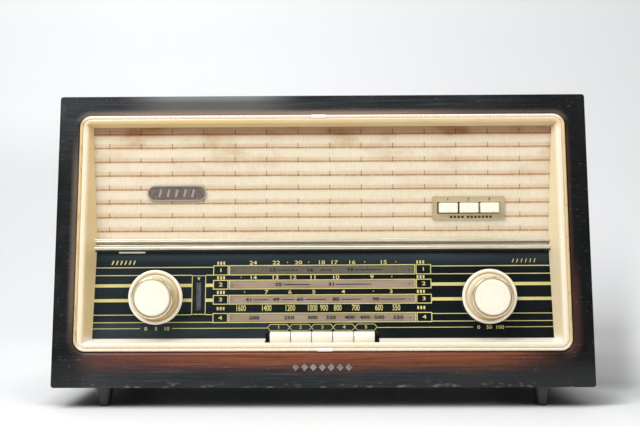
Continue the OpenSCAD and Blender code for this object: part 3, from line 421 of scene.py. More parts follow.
class RADIO_OT_camera(bpy.types.Operator):
    """Places the camera at the photograph's viewing angle"""

    bl_idname = "radio.camera"
    bl_label = "Camera"

    def execute(self, context):
        yaw, pitch, roll = (math.radians(a) for a in (0.729, 2.2, -0.216))
        lens = bpy.data.cameras.new("camera")
        lens.lens = context.scene.radio_studio.lens
        lens.sensor_width = 36
        camera = bpy.data.objects.new("camera", lens)
        context.scene.collection.objects.link(camera)
        turn = Matrix.Rotation(yaw, 4, "Z") @ Matrix.Rotation(math.pi / 2 + pitch, 4, "X")
        camera.matrix_world = (Matrix.Translation((0.00998, -1.0372, 0.1654)) @ turn
                               @ Matrix.Rotation(roll, 4, "Z"))
        context.scene.camera = camera
        return {"FINISHED"}


def veneer(name, look, burst):
    """Dark lacquered veneer with its grain along the width, and a sunburst round the opening."""
    finish = Finish(name, coat_weight=0.12, coat_roughness=0.2)
    x, z = finish.x, finish.z
    side = abs(x).rise(271, 276)
    along = finish.mix(side, finish.noise((70, 12, 1.6), 5.0), finish.noise((12, 3, 70), 5.0))
    pores = finish.mix(side, finish.noise((14, 2, 0.45), 2.0, seed=3.0),
                       finish.noise((2, 0.45, 14), 2.0, seed=3.0))
    cloud = finish.noise((60, 60, 40), 2.0, seed=11.0)
    grain = along * 0.7 + pores * 0.3
    colour = finish.ramp(grain, (0.36, look.dark), (0.52, tinted(look.dark, 1.7)), (0.68, look.light))
    colour = finish.mix(cloud.rise(0.45, 0.75) * 0.3, colour, paint("3c3236"))
    # Blacker toward the right and at the left edge, a painted shade; the lacquer is less glossy there too.
    dull = x.rise(120, 262).upper(x.rise(-235, -262) * z.rise(310, 230) * 0.7)
    colour = finish.mix(dull * 0.8, colour, paint("070807"))
    if burst:
        # Red-brown below the opening, browner at the left.
        wave = (finish.noise((90, 20, 14), 3.0, seed=5.0) - 0.5) * 16
        below = (z + wave).rise(33, 54) * z.rise(66, 60) * x.near(-20, 175, 110) * x.rise(-268, -235)
        tone = finish.ramp(grain, (0.36, tinted(look.burst, 0.5)), (0.64, tinted(look.burst, 1.2)))
        tone = finish.mix(x.rise(-70, -230) * 0.55, tone, paint("4c2c30"))
        colour = finish.mix(below, colour, tone)
        # Painted highlight: grey along the top edge, brightest at the edge itself.
        painted_top_sheen = x.near(-118, 35, 70) * z.rise(309, 312) * 0.7
        colour = finish.mix(painted_top_sheen, colour, finish.mix(z.rise(320, 327), paint("64625e"), paint("8a8e8e")))
        # Painted reflection on the rounded edge along the bead: pale above it and at its left, dark red-brown
        # at its right.
        outside = beyond(finish, RIM_EDGE) + wave * 0.06
        close = outside.rise(9, 0)
        above = close * close * (x.near(-60, 110, 120) * 0.7 + 0.3) * z.rise(296, 306)
        colour = finish.mix(above, colour, paint("a88f80"))
        left = outside.rise(9, 1.5) * x.rise(-245, -256) * z.near(175, 60, 70)
        colour = finish.mix(left, colour, paint("675a50"))
        right = (outside.rise(6, 1) * 0.7).upper(outside.rise(13, 3) * z.rise(170, 110) * 0.8)
        colour = finish.mix(right * x.rise(245, 256) * z.rise(308, 280), colour, paint("462e26"))
    rubbed = finish.noise((5, 5, 1.1), 3.0, seed=21.0).rise(0.66, 0.72)
    low_edge = z.rise(30, 22.5) * finish.noise((9, 9, 3), 3.0, seed=31.0).rise(0.56, 0.66)
    scratch = finish.noise((1.1, 1.1, 9), 1.0, seed=41.0).rise(0.825, 0.845)
    marks = (rubbed * 0.25).upper(low_edge * 0.35).upper(scratch * 0.5) * look.wear
    dusty = z.rise(60, 26) * abs(x).rise(120, 260) * (x.rise(0, 280) * 0.04 + 0.035)
    finish.set(
        colour=finish.mix(marks.upper(dusty), colour, paint("8e9190")),
        roughness=along * 0.2 + marks * 0.2 + 0.3,
        specular=dull * -0.2 + 0.3,
    )
    finish.relief(pores * 0.03 + along * 0.04)
    return finish


class RADIO_OT_cabinet(bpy.types.Operator):
    """Veneers the case and its front frame, and finishes the feet and the ornament"""

    bl_idname = "radio.cabinet"
    bl_label = "Cabinet"

    def execute(self, context):
        look = context.scene.radio_cabinet
        dress("cabinet_case", "veneered_case", veneer("case veneer", look, False))
        dress("front_frame", "veneered_front", veneer("front veneer", look, True))
        black = worked("foot plastic", paint("17191a"), 0.32, grain=(2, 2, 6), coat_weight=0.3,
                       coat_roughness=0.2)
        dress("feet", "tapered_feet", black)
        nickel = worked("ornament metal", paint("c4c0b8"), 0.3, 1.0, grain=(0.6, 0.6, 0.6), spread=0.25)
        dress("front_ornament", "row_of_lozenges", nickel)
        return {"FINISHED"}


class RADIO_OT_surround(bpy.types.Operator):
    """Finishes the moulded surround, the bead round it and the sleeves over the bead's joints"""

    bl_idname = "radio.surround"
    bl_label = "Surround"

    GROOVE_DEPTH = 3.2
    GROOVE_INNER = 2.6
    GROOVE_LIFT = 2.2

    def execute(self, context):
        look = context.scene.radio_surround
        surround = merged("front_bezel")
        self.lift_groove(surround)
        dress("front_bezel", "moulded_surround", self.moulding(look), bm=surround)
        dress("trim_bead", "rim_bead", self.bead(look))
        sleeve = worked("sleeve plastic", paint("f6f2ea"), 0.25, grain=(1, 1, 1), spread=0.03, depth=0.005)
        dress("bead_joiners", "bead_sleeves", sleeve)
        return {"FINISHED"}

    def lift_groove(self, bm):
        """Brings the floor of the groove beside the bead forward, to the shallow depth that shows."""
        out = Vector((0, -math.cos(math.radians(FRONT_LEAN)), math.sin(math.radians(FRONT_LEAN))))
        half, middle, rise, radius = RIM_EDGE
        for vert in bm.verts:
            x, y, z = vert.co / MM
            depth = (y + MID_DEPTH) * -out.y - (z - FOOT_HEIGHT) * out.z
            across, along = max(abs(x) - half + radius, 0), max(abs(z - middle) - rise + radius, 0)
            outside = math.hypot(across, along) - radius
            if abs(depth - self.GROOVE_DEPTH) < 0.1 and outside < -self.GROOVE_INNER:
                vert.co += out * self.GROOVE_LIFT * MM

    @staticmethod
    def moulding(look):
        finish = Finish("cream moulding", specular=0.5, coat_weight=0.25, coat_roughness=0.12)
        x, z = finish.x, finish.z
        cloud = finish.noise((45, 45, 30), 3.0)
        behind = finish.y + MID_DEPTH - (z - FOOT_HEIGHT) * math.tan(math.radians(FRONT_LEAN))
        # Cream turns paler and greyer to the right, painted light where the key lamp falls on the right wall;
        # yellower deep inside the left wall; darker on the top wall, a painted shade.
        tone = finish.mix(x.rise(-120, 240), look.cream, look.pale)
        tone = finish.mix(x.rise(215, 245) * 0.45, tone, paint("d8c8a8"))
        tone = finish.mix(x.rise(-200, -230) * behind.rise(8, 20) * 0.5, tone, paint("f0dcae"))
        tone = finish.mix(z.rise(286, 304) * 0.7, tone, paint("d2b47e"))
        # The lower wall is near-white, partly its own bleaching and partly painted light from above; the crest
        # has a painted highlight, which turns yellower along its lower run.
        crest = behind.rise(4.5, 0.8) * z.rise(300, 288) * 0.4
        tone = finish.mix(z.rise(78, 66).upper(crest), tone, look.bleached)
        tone = finish.mix(behind.rise(4, 1) * z.rise(76, 68) * 0.6, tone, paint("dccfac"))
        soiled = finish.mix(0.5, tone, look.grime, "SOFT_LIGHT")
        colour = finish.mix(cloud.rise(0.35, 0.65) * 0.35, tone, soiled)
        specks = finish.noise((1.6, 1.6, 1.6), 2.0, seed=4.0).rise(0.72, 0.8) * 0.35
        colour = finish.mix(specks, colour, look.grime)
        # Painted light: near-white in the groove beside the bead, against the shade that falls there.
        groove = beyond(finish, RIM_EDGE).rise(-5.0, -4.3)
        finish.set(colour=finish.mix(groove, colour, paint("fffaf0")), roughness=cloud * 0.15 + 0.26)
        finish.relief(finish.noise((6, 6, 6), 2.0, seed=9.0) * 0.03)
        return finish

    @staticmethod
    def bead(look):
        finish = Finish("bead strip", metallic=0.1)
        worn = finish.noise((2, 2, 9), 3.0).rise(0.5, 0.7)
        side = abs(finish.x).rise(250, 256)
        # Golden tan at the sides, and a little darker along the lower run as painted shade.
        tan_sides_shaded_foot = finish.mix((side * 0.85).upper(finish.z.rise(70, 62) * 0.2), look.bead, paint("dabf84"))
        finish.set(colour=finish.mix(worn * side * 0.55, tan_sides_shaded_foot, look.grime), roughness=worn * 0.25 + 0.25)
        finish.relief(finish.noise((3, 3, 3)) * 0.01)
        return finish


class RADIO_OT_grille_cloth(bpy.types.Operator):
    """Weaves the grille cloth, with raised ribbons across it and the hole for the tone buttons"""

    bl_idname = "radio.grille_cloth"
    bl_label = "Grille cloth"

    # Height of a ribbon's lower thread, and distance between the dotted threads that cross the ribbons.
    FIRST_RIBBON = 287.9
    COLUMN_PITCH = 33.85

    def execute(self, context):
        look = context.scene.radio_cloth
        low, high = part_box("grille_cloth")
        size = high - low
        bm = bmesh.new()
        middle = Vector(((low.x + high.x) / 2, low.y + 0.00045, (low.z + high.z) / 2))
        place = (Matrix.Translation(middle) @ Matrix.Rotation(math.pi / 2, 4, "X")
                 @ Matrix.Diagonal((size.x / 2, size.z / 2, 1, 1)))
        bmesh.ops.create_grid(bm, x_segments=128, y_segments=288, size=1, matrix=place)
        self.cut_hole(bm)
        for vert in bm.verts:
            vert.co.y -= self.swell(vert.co, look)
        piece = add_piece("grille_cloth_sheet", bm, [self.weave(look)], "cabinet", ["grille_cloth"])
        wall = piece.modifiers.new("Cloth", "SOLIDIFY")
        wall.thickness = 0.0004
        wall.offset = -1
        return {"FINISHED"}

    def cut_hole(self, bm):
        for axis, sides in zip((Vector((1, 0, 0)), Vector((0, 0, 1))), self.hole()):
            for side in sides:
                bmesh.ops.bisect_plane(bm, geom=bm.verts[:] + bm.edges[:] + bm.faces[:], dist=1e-7,
                                       plane_co=axis * side, plane_no=axis)
        (x0, x1), (z0, z1) = self.hole()
        inside = [face for face in bm.faces
                  if x0 < face.calc_center_median().x < x1 and z0 < face.calc_center_median().z < z1]
        bmesh.ops.delete(bm, geom=inside, context="FACES")

    @staticmethod
    def hole():
        """Edges of the hole for the buttons: 1 mm outside them all round."""
        corners = [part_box(f"tone_button_{i}") for i in (1, 3)]
        return ((corners[0][0].x - 0.001, corners[1][1].x + 0.001),
                (corners[0][0].z - 0.001, corners[0][1].z + 0.001))

    def swell(self, place, look):
        """How far the cloth stands out at a place: a rounded ribbon above each brown thread."""
        above = (place.z - self.FIRST_RIBBON * MM) % look.pitch / look.pitch
        ribbon = max(0.0, 1 - ((above - 0.11) / 0.13) ** 2)
        slub = 0.5 + 0.5 * math.sin(place.x * 900 + 2.5 * math.sin(place.x * 37 + place.z * 90))
        return look.rise * ribbon * (0.8 + 0.2 * slub)

    def weave(self, look):
        finish = Finish("grille weave", roughness=0.85, specular=0.2, sheen_weight=0.15, sheen_roughness=0.5)
        x, z = finish.x, finish.z
        pitch = look.pitch / MM
        drift = (finish.noise((60, 60, 60), 1.0, seed=2.0) - 0.5) * 0.9
        above = (z + drift - self.FIRST_RIBBON) % pitch
        warp = finish.noise((0.7, 2, 9), 2.0, seed=6.0)
        weft = finish.noise((6, 2, 0.5), 2.0, seed=8.0)
        twist = ((x + z * 0.8) % 1.5).near(0.75, 0.3, 0.4)
        colour = finish.ramp(warp * 0.6 + weft * 0.4, (0.3, tinted(look.ground, 0.86)), (0.62, look.ground))
        ribbon = above.near(1.7, 1.2, 0.3)
        colour = finish.mix(ribbon * 0.8, colour, finish.mix(twist, look.ribbon, tinted(look.ribbon, 0.9)))
        # Each ribbon has a brown thread below it and a fainter one above, both broken up by the twist.
        broken = finish.noise((2.2, 2, 30), 2.0, seed=15.0).rise(0.3, 0.6) * 0.4 + twist * 0.25 + 0.35
        lower = (above - pitch).near(0, 0.45, 0.8).upper(above.near(0, 0.45, 0.8))
        upper = above.near(3.3, 0.15, 0.6) * 0.35
        colour = finish.mix(lower.upper(upper) * broken, colour, look.thread)
        # A faint brown stain spreads from the threads.
        spread = above.rise(6.5, 3.5).upper(above.rise(pitch - 3.5, pitch - 0.5))
        halo = spread * finish.noise((50, 30, 9), 2.0, seed=23.0)
        colour = finish.mix(halo * 0.45, colour, paint("d8ab84"), "MULTIPLY")
        column = abs((x + 228.5) % self.COLUMN_PITCH - self.COLUMN_PITCH / 2)
        tick = column.rise(16.2, 16.65) * above.rise(5.4, 4.6).upper(above.rise(pitch - 0.8, pitch - 0.3))
        dots = ((above * 0.55 + 0.2) % 1).near(0.5, 0.22, 0.18) * 0.75 + 0.12
        colour = finish.mix(tick * dots, colour, paint("3c2c1c"))
        # Stained in patches toward the top. Along its top edge a brown band, partly stain and partly the
        # painted shadow of the top wall.
        patches = finish.noise((40, 30, 22), 3.0, seed=19.0).rise(0.45, 0.85)
        soiled = patches * (z.rise(225, 288) * 0.5 + 0.1)
        colour = finish.mix(soiled, colour, look.stain, "MULTIPLY")
        edge = z.rise(284, 287.5).upper(z.rise(277, 287) * 0.35) * (patches * 0.3 + 0.75)
        colour = finish.mix(edge, colour, paint("b58f70"), "MULTIPLY")
        finish.set(colour=colour)
        finish.relief(warp * 0.12 + weft * 0.06 - lower * 0.15)
        return finish


class RADIO_OT_dial(bpy.types.Operator):
    """Makes the dial glass with its tinted windows, and finishes the rail, scale plate and pointer"""

    bl_idname = "radio.dial"
    bl_label = "Dial"

    # Half width of the scale windows, their lower and upper edges, and the window of the tuning eye.
    WINDOW_HALF = 98.0
    WINDOWS = ((115.1, 123.6), (100.2, 108.1), (84.4, 92.3), (65.2, 73.3))
    EYE = ((-133.7, -128.6), (77.6, 106.7))
    # Height of the rail's ridges above the foot of its clip.
    RIDGE_FOOT = 1.9

    def execute(self, context):
        look = context.scene.radio_dial
        self.pane(look)
        self.rail()
        plate = worked("scale paint", paint("c4ab9c"), 0.55, grain=(4, 4, 4), spread=0.06)
        dress("scale_plate", "scale_backing", plate)
        dress("dial_pointer", "dial_needle", worked("pointer paint", paint("120c0a"), 0.4, grain=(2, 2, 2)),
              "pointer")
        eye = Finish("eye glass", roughness=0.12, alpha=0.75)
        eye.set(colour=eye.ramp(eye.noise((6, 6, 9), 2.0), (0.3, paint("8c8892")), (0.7, paint("bdb9c2"))))
        dress("tuning_eye", "tuning_indicator", eye)
        return {"FINISHED"}

    def pane(self, look):
        bm = merged("dial_glass")
        inverse = PRINT_PLANE.inverted()
        heights = [on_glass(h) for window in (*self.WINDOWS, self.EYE[1]) for h in window]
        sides = [-self.WINDOW_HALF, self.WINDOW_HALF, *self.EYE[0]]
        cuts = [((0, height, 0), (0, 1, 0)) for height in heights]
        cuts += [((side, 0, 0), (1, 0, 0)) for side in sides]
        bm.transform(inverse)
        for place, normal in cuts:
            bmesh.ops.bisect_plane(bm, geom=bm.verts[:] + bm.edges[:] + bm.faces[:], dist=1e-4, plane_co=place,
                                   plane_no=normal)
        for face in bm.faces:
            face.material_index = self.window_at(face.calc_center_median())
        bm.transform(PRINT_PLANE)
        add_piece("printed_glass", bm, [self.ground(look), self.tint(look), self.clear()], "cabinet",
                  ["dial_glass"])

    def window_at(self, place):
        """Which finish a place on the pane has: 0 for print, 1 for a scale's window, 2 for the eye's."""
        if abs(place.x) < self.WINDOW_HALF:
            return int(any(on_glass(low) < place.y < on_glass(high) for low, high in self.WINDOWS))
        (x0, x1), (low, high) = self.EYE
        return 2 * int(x0 < place.x < x1 and on_glass(low) < place.y < on_glass(high))

    @staticmethod
    def ground(look):
        finish = Finish("printed ground", specular=0.4, coat_weight=0.3, coat_roughness=0.03)
        # Painted reflection: a blue-grey glare along the upper edge, along the lower edge at the left and over
        # the left of the glass; the glare is also rougher.
        left = finish.x.rise(60, -250)
        upper_edge = finish.z.rise(140, 158) * finish.z.rise(161, 156)
        lower_edge = finish.z.rise(98, 82) * finish.x.near(-120, 110, 90)
        painted_glare_and_haze = finish.noise((120, 60, 22), 4.0) * upper_edge.upper(left * 0.55).upper(lower_edge)
        smear = finish.noise((9, 9, 26), 3.0, seed=5.0).rise(0.5, 0.8) * 0.25 * left
        finish.set(colour=finish.mix((painted_glare_and_haze * 0.6).upper(smear), look.black, paint("4a5a60")),
                   roughness=painted_glare_and_haze * 0.25 + 0.08)
        return finish

    @staticmethod
    def tint(look):
        finish = Finish("scale window", roughness=0.25, alpha=0.5, coat_weight=0.5, coat_roughness=0.04)
        shade = finish.noise((50, 50, 6), 3.0)
        colour = finish.ramp(shade, (0.3, tinted(look.window, 0.78)), (0.7, tinted(look.window, 1.12)))
        grey = finish.z.rise(131, 138)
        finish.set(colour=finish.mix(grey * 0.85, colour, paint("6e6b60")))
        return finish

    @staticmethod
    def clear():
        finish = Finish("eye window", roughness=0.05, alpha=0.3, coat_weight=0.5, coat_roughness=0.03)
        shade = finish.noise((8, 8, 8))
        finish.set(colour=finish.ramp(shade, (0.3, paint("66646a")), (0.7, paint("86848a"))))
        return finish

    def rail(self):
        """Gilt that is darker in the grooves between its ridges, with a painted shadow underneath."""
        finish = Finish("rail gilt", metallic=0.6)
        streak = finish.noise((60, 3, 0.7), 3.0)
        bright = finish.ramp(streak, (0.3, paint("dad1b6")), (0.7, paint("f2ecda")))
        above = finish.z - (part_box("dial_rail")[0].z / MM + self.RIDGE_FOOT)
        dull = (above.near(8.3, 1.1, 0.5) * 0.85).upper(above.near(3.7, 0.25, 0.4) * 0.5)
        colour = finish.mix(dull, bright, paint("6a6255"))
        colour = finish.mix(above.near(10.7, 0.5, 0.5) * 0.25, colour, paint("c79c8c"))
        # Painted shadow along the lower side of the rail, but not on its clip.
        painted_underside_shadow = above.rise(1.9, 1.3) * above.rise(-0.3, 0.1)
        finish.set(colour=finish.mix(painted_underside_shadow, colour, paint("2a2620")), roughness=streak * 0.14 + 0.2)
        finish.relief(streak * 0.01)
        dress("dial_rail", "ridged_rail", finish, sharp=50.0)


class RADIO_OT_dial_print(bpy.types.Operator):
    """Prints the gold lines, boxes and figures on the glass, and the dark figures in its windows"""

    bl_idname = "radio.dial_print"
    bl_label = "Dial print"

    # Half widths of the row of windows and, with the boxes at its ends, of the whole scale.
    BOX_ENDS = (98.0, 115.3)
    # Half widths of the pane and of the chain of key numbers, and the height of the line that runs into it.
    PANE_HALF = 248.2
    CHAIN_HALF = 57.6
    LOWEST_LINE = 58.6
    # Place of a knob, how near to it the lines come, and half the gap for the numbers below it.
    KNOB_PLACE = (175.4, 91.8)
    KNOB_REACH = 24.0
    NUMBER_GAP = 17.0
    EYE_BOX = (-138.5, -123.5)
    # Height of each row, height of its figures, and the figures with their places across.
    ROWS = (
        (127.0, 3.9, ((24, -73.3), (22, -48.7), (20, -25.1), (18, -0.7), (17, 12.8), (16, 31.7), (15, 65.3))),
        (111.4, 3.9, ((14, -73.3), (13, -49.9), (12, -31.1), (11, -9.6), (10, 14.4), (9, 53))),
        (96.0, 3.9, ((7, -59.1), (6, -34.1), (5, -8.8), (4, 22.4), (3, 73.1))),
        (79.1, 6.2, ((1600, -86.2), (1400, -59.1), (1200, -34.1), (1000, -10.6), (900, 2), (800, 16.4),
                     (700, 35.4), (600, 60), (550, 78.3))),
    )
    MARKS = ((127.4, (-36.8, -14.1, 45.5, 78.6)), (111.8, (-86, 74.2)), (96.4, (-82.5, 54.4)))
    # For each window, its dark figures and the spans of the lines between them.
    STRIP_FIGURES = (
        (((13, -52.7), (16, -13), (19, 29.8)),
         ((-48, -26.1), (-1.7, 10.2), (35.2, 63.4))),
        (((25, -46.3), (31, 10.2)),
         ((-40.6, -13), (14.6, 52.5))),
        (((41, -77.5), (49, -48.7), (60, -23.4), (80, 14.6), (90, 56.9)),
         ((-72.9, -56.8), (-42.9, -29.1), (-17.6, 4.4), (20.5, 41.1), (61.8, 88.3))),
        (((200, -71.9), (250, -34.9), (300, -10.2), (350, 9.1), (400, 29.1), (450, 45), (500, 60.2),
          (550, 80.2)),
         ()),
    )

    def execute(self, context):
        look = context.scene.radio_dial
        gold = Print(PRINT_PLANE)
        self.lines(gold)
        self.boxes(gold)
        self.scales(gold)
        self.key_labels(gold)
        self.corner_marks(gold)
        gold.finish("gold_print", worked("gold ink", look.gold, 0.4, 0.15, grain=(2, 2, 2), spread=0.16,
                                         depth=0.004, coat_weight=0.5, coat_roughness=0.05))
        dark = Print(PRINT_PLANE)
        self.strip_figures(dark)
        dark.finish("dark_print", worked("dark ink", look.figures, 0.4, grain=(2, 2, 2), depth=0.004,
                                         coat_weight=0.5, coat_roughness=0.05))
        return {"FINISHED"}

    def lines(self, ink):
        """Thin and thick lines, from the pane's edges to the boxes and the knobs."""
        for height, width in ((122.7, 0.9), (114.4, 0.9), (103.6, 3.4), (88.0, 3.4), (72.8, 0.8), (64.9, 0.8),
                              (self.LOWEST_LINE, 0.7)):
            for side in (-1, 1):
                self.broken_line(ink, side, height, width)

    def broken_line(self, ink, side, height, width):
        """A line on one side, with gaps for the knob, the numbers below it and the tuning eye."""
        lowest = height == self.LOWEST_LINE
        y, (knob_x, knob_height) = on_glass(height), self.KNOB_PLACE
        reach = self.KNOB_REACH ** 2 - (y - on_glass(knob_height)) ** 2
        gap = self.NUMBER_GAP if lowest else math.sqrt(max(reach, 0))
        stops = [self.PANE_HALF, self.CHAIN_HALF if lowest else self.BOX_ENDS[1]]
        if gap:
            stops[1:1] = [knob_x + gap, knob_x - gap]
        for x0, x1 in (sorted((side * a, side * b)) for a, b in zip(stops[::2], stops[1::2])):
            spans = [(x0, x1)]
            if x0 < self.EYE_BOX[0] < x1 and 72 < height < 115:
                spans = [(x0, self.EYE_BOX[0]), (self.EYE_BOX[1], x1)]
            for start, end in spans:
                ink.bar(start, end, y - width / 2, y + width / 2)

    def boxes(self, ink):
        """Frames of the scale windows, of the boxes at their ends and of the tuning eye."""
        inner, outer = self.BOX_ENDS
        for number, (low, high) in enumerate(RADIO_OT_dial.WINDOWS, 1):
            y0, y1 = on_glass(low - 1.1), on_glass(high + 1.1)
            ink.box(-inner - 1, inner + 1, y0, y1, 0.9)
            for side in (-1, 1):
                x0, x1 = sorted((side * (inner + 1.6), side * (outer + 0.6)))
                ink.box(x0, x1, y0, y1, 0.9)
                ink.figures(str(number), (x0 + x1) / 2, (y0 + y1) / 2, 3.8, 1.6)
        ink.box(*self.EYE_BOX, on_glass(72.9), on_glass(114.2), 0.7)
        ink.dot(-131.1, on_glass(110.9), 2.0, corners=3, turn=180)

    def scales(self, ink):
        """Rows of frequency figures and the small marks between them."""
        for height, size, figures in self.ROWS:
            y = on_glass(height)
            stretch = 1.45 if size < 5 else 0.62
            for number, x in figures:
                ink.figures(str(number), x, y, size, stretch)
            for middle in (-107.5, 104.6):
                for x in (middle - 3.2, middle, middle + 3.2):
                    ink.bar(x - 0.9, x + 0.9, y - 1.7, y + 1.7)
        for height, places in self.MARKS:
            for x in places:
                ink.dot(x, on_glass(height), 0.9, corners=3, turn=180)

    def key_labels(self, ink):
        """Chain of numbered hexagons above the keys."""
        low, high = on_glass(55.9), on_glass(62.3)
        middle = (low + high) / 2
        pitch, point = 23.0, 2.6
        for number in range(1, 6):
            x0 = (number - 3.5) * pitch
            x1 = x0 + pitch
            corners = [(x0, middle), (x0 + point, high), (x1 - point, high), (x1, middle), (x1 - point, low),
                       (x0 + point, low)]
            for start, end in zip(corners, corners[1:] + corners[:1]):
                ink.line(start, end, 0.6)
            ink.figures(str(number), (x0 + x1) / 2, middle, 3.2, 1.4)

    def corner_marks(self, ink):
        """Slanted bars in the upper corners, and the numbers below the knobs."""
        for side, first in ((-1, -223.5), (1, 203.0)):
            for step in range(6):
                x = first + step * 4.6
                ink.line((x - 0.7, on_glass(126.2)), (x + 0.7, on_glass(129.8)), 1.3 if side < 0 else 0.7)
        for side, figures in ((-1, ("0", "5", "10")), (1, ("0", "50", "100"))):
            for step, text in zip((-1, 0, 1), figures):
                ink.figures(text, side * self.KNOB_PLACE[0] + step * 11, on_glass(58.2), 3.6, 1.2)

    def strip_figures(self, ink):
        for (low, high), (figures, lines) in zip(RADIO_OT_dial.WINDOWS, self.STRIP_FIGURES):
            middle = on_glass((low + high) / 2 - 0.2)
            for number, x in figures:
                ink.figures(str(number), x, middle, 3.3, 1.5, 0.035)
            for start, end in lines:
                ink.bar(start, end, middle - 0.45, middle + 0.45)
            for x in (-95.7, 92.7):
                ink.dot(x, middle, 0.7)


class RADIO_OT_knobs(bpy.types.Operator):
    """Turns the two knobs and their metal rings"""

    bl_idname = "radio.knobs"
    bl_label = "Knobs"

    def execute(self, context):
        look = context.scene.radio_knobs
        for side in ("volume", "tuning"):
            body = "volume_control_knob" if side == "volume" else "tuning_knob_assembly"
            low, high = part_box(f"{side}_knob")
            centre = Vector(((low.x + high.x) / 2, high.y, (low.z + high.z) / 2))
            radius, height = (high.x - low.x) / 2 / MM, (high.y - low.y) / MM
            knob = turned(self.knob_profile(radius, height), centre, look.sides)
            add_piece(f"{side}_knob_turned", knob, [self.ivory(look, centre, side)], body, [f"{side}_knob"])
            ring = turned(self.ring_profile(height), centre, look.sides)
            metal = worked(f"{side} ring metal", paint("efe6cc"), 0.16, 1.0, grain=(1, 1, 1), spread=0.06)
            add_piece(f"{side}_ring_turned", ring, [metal], body, [f"{side}_knob_ring"])
        return {"FINISHED"}

    @staticmethod
    def knob_profile(radius, height):
        """Half section from the shaft's hole round the skirt, the cone and the collar to the cap."""
        lip = arc((radius - 1.9, 3.9), 1.9, -30, 160, 12)
        cap = arc((17.0, height - 2.4), 1.7, 0, 62, 5)
        face = [(17.3 * (1 - i / 8), height - 0.7 * (1 - math.sin(math.pi / 16 * i))) for i in range(9)]
        return [(0, 2.5), (3.2, 2.5), (3.2, 0.5), (7.2, 0.5), (7.2, 2), (radius - 2.6, 2), *lip,
                (radius - 4.4, 3.4), (radius - 5.2, 3.9), (23.6, 4.9), (22.6, 6.6), (21.9, 9.5),
                (21.5, 13), (21.3, height - 6.2), (19.3, height - 6.2), (19.3, height - 4.4),
                (18.8, height - 4), *cap, *face]

    @staticmethod
    def ring_profile(height):
        foot = height - 6.1
        edge = arc((20.6, height - 2.5), 0.65, 0, 90, 5)
        return [(19.35, foot), (21.2, foot), (21.25, height - 2.9), *edge, (19.9, height - 1.9),
                (19.35, height - 2.4), (19.35, foot)]

    @staticmethod
    def ivory(look, centre, side):
        """Ivory that turns tan in the recess inside the lip, deeper toward the lower right as painted shade, on
        the bevel and along a line on the face.
        """
        finish = Finish(f"{side} knob ivory", specular=0.5, coat_weight=0.5, coat_roughness=0.06)
        x, z = finish.x - centre.x / MM, finish.z - centre.z / MM
        radius = (x * x + z * z).math("SQRT")
        mottle = finish.noise((9, 9, 9), 3.0)
        ivory = finish.ramp(mottle, (0.3, tinted(look.ivory, 0.96)), (0.7, look.ivory))
        # Painted shade toward the lower right of the recess.
        shaded = ((x - z) / radius).rise(-0.6, 1.3)
        recess = radius.near(23.2, 1.6, 1.2) * (shaded * 0.5 + 0.5)
        bevel = radius.near(18.0, 0.7, 0.4) * 0.4
        line = radius.near(13.4, 0.1, 0.35) * 0.3
        finish.set(colour=finish.mix(recess.upper(bevel).upper(line), ivory, look.cone),
                   roughness=mottle * 0.1 + 0.14)
        finish.relief(finish.noise((4, 4, 4)) * 0.01)
        return finish


def glossy_ivory(name, look):
    return worked(name, look.ivory, 0.2, grain=(5, 5, 5), spread=0.03, depth=0.01, coat_weight=0.4,
                  coat_roughness=0.08)


class RADIO_OT_keys(bpy.types.Operator):
    """Finishes the five band keys"""

    bl_idname = "radio.keys"
    bl_label = "Band keys"

    # The tops show this much lower than the caps of the solids, which shrink over their upper part.
    TOP_DROP = 2.0
    UPPER_PART = 7.0

    def execute(self, context):
        ivory = glossy_ivory("key ivory", context.scene.radio_knobs)
        for number in range(1, 6):
            bm = merged(f"band_key_{number}")
            top = max(vert.co.z for vert in bm.verts)
            for vert in bm.verts:
                vert.co.z -= self.TOP_DROP * MM * max(0.0, 1 - (top - vert.co.z) / (self.UPPER_PART * MM))
            soften(bm, 0.45, 40)
            add_piece(f"ivory_key_{number}", bm, [ivory], f"key_{number}", [f"band_key_{number}"])
        return {"FINISHED"}


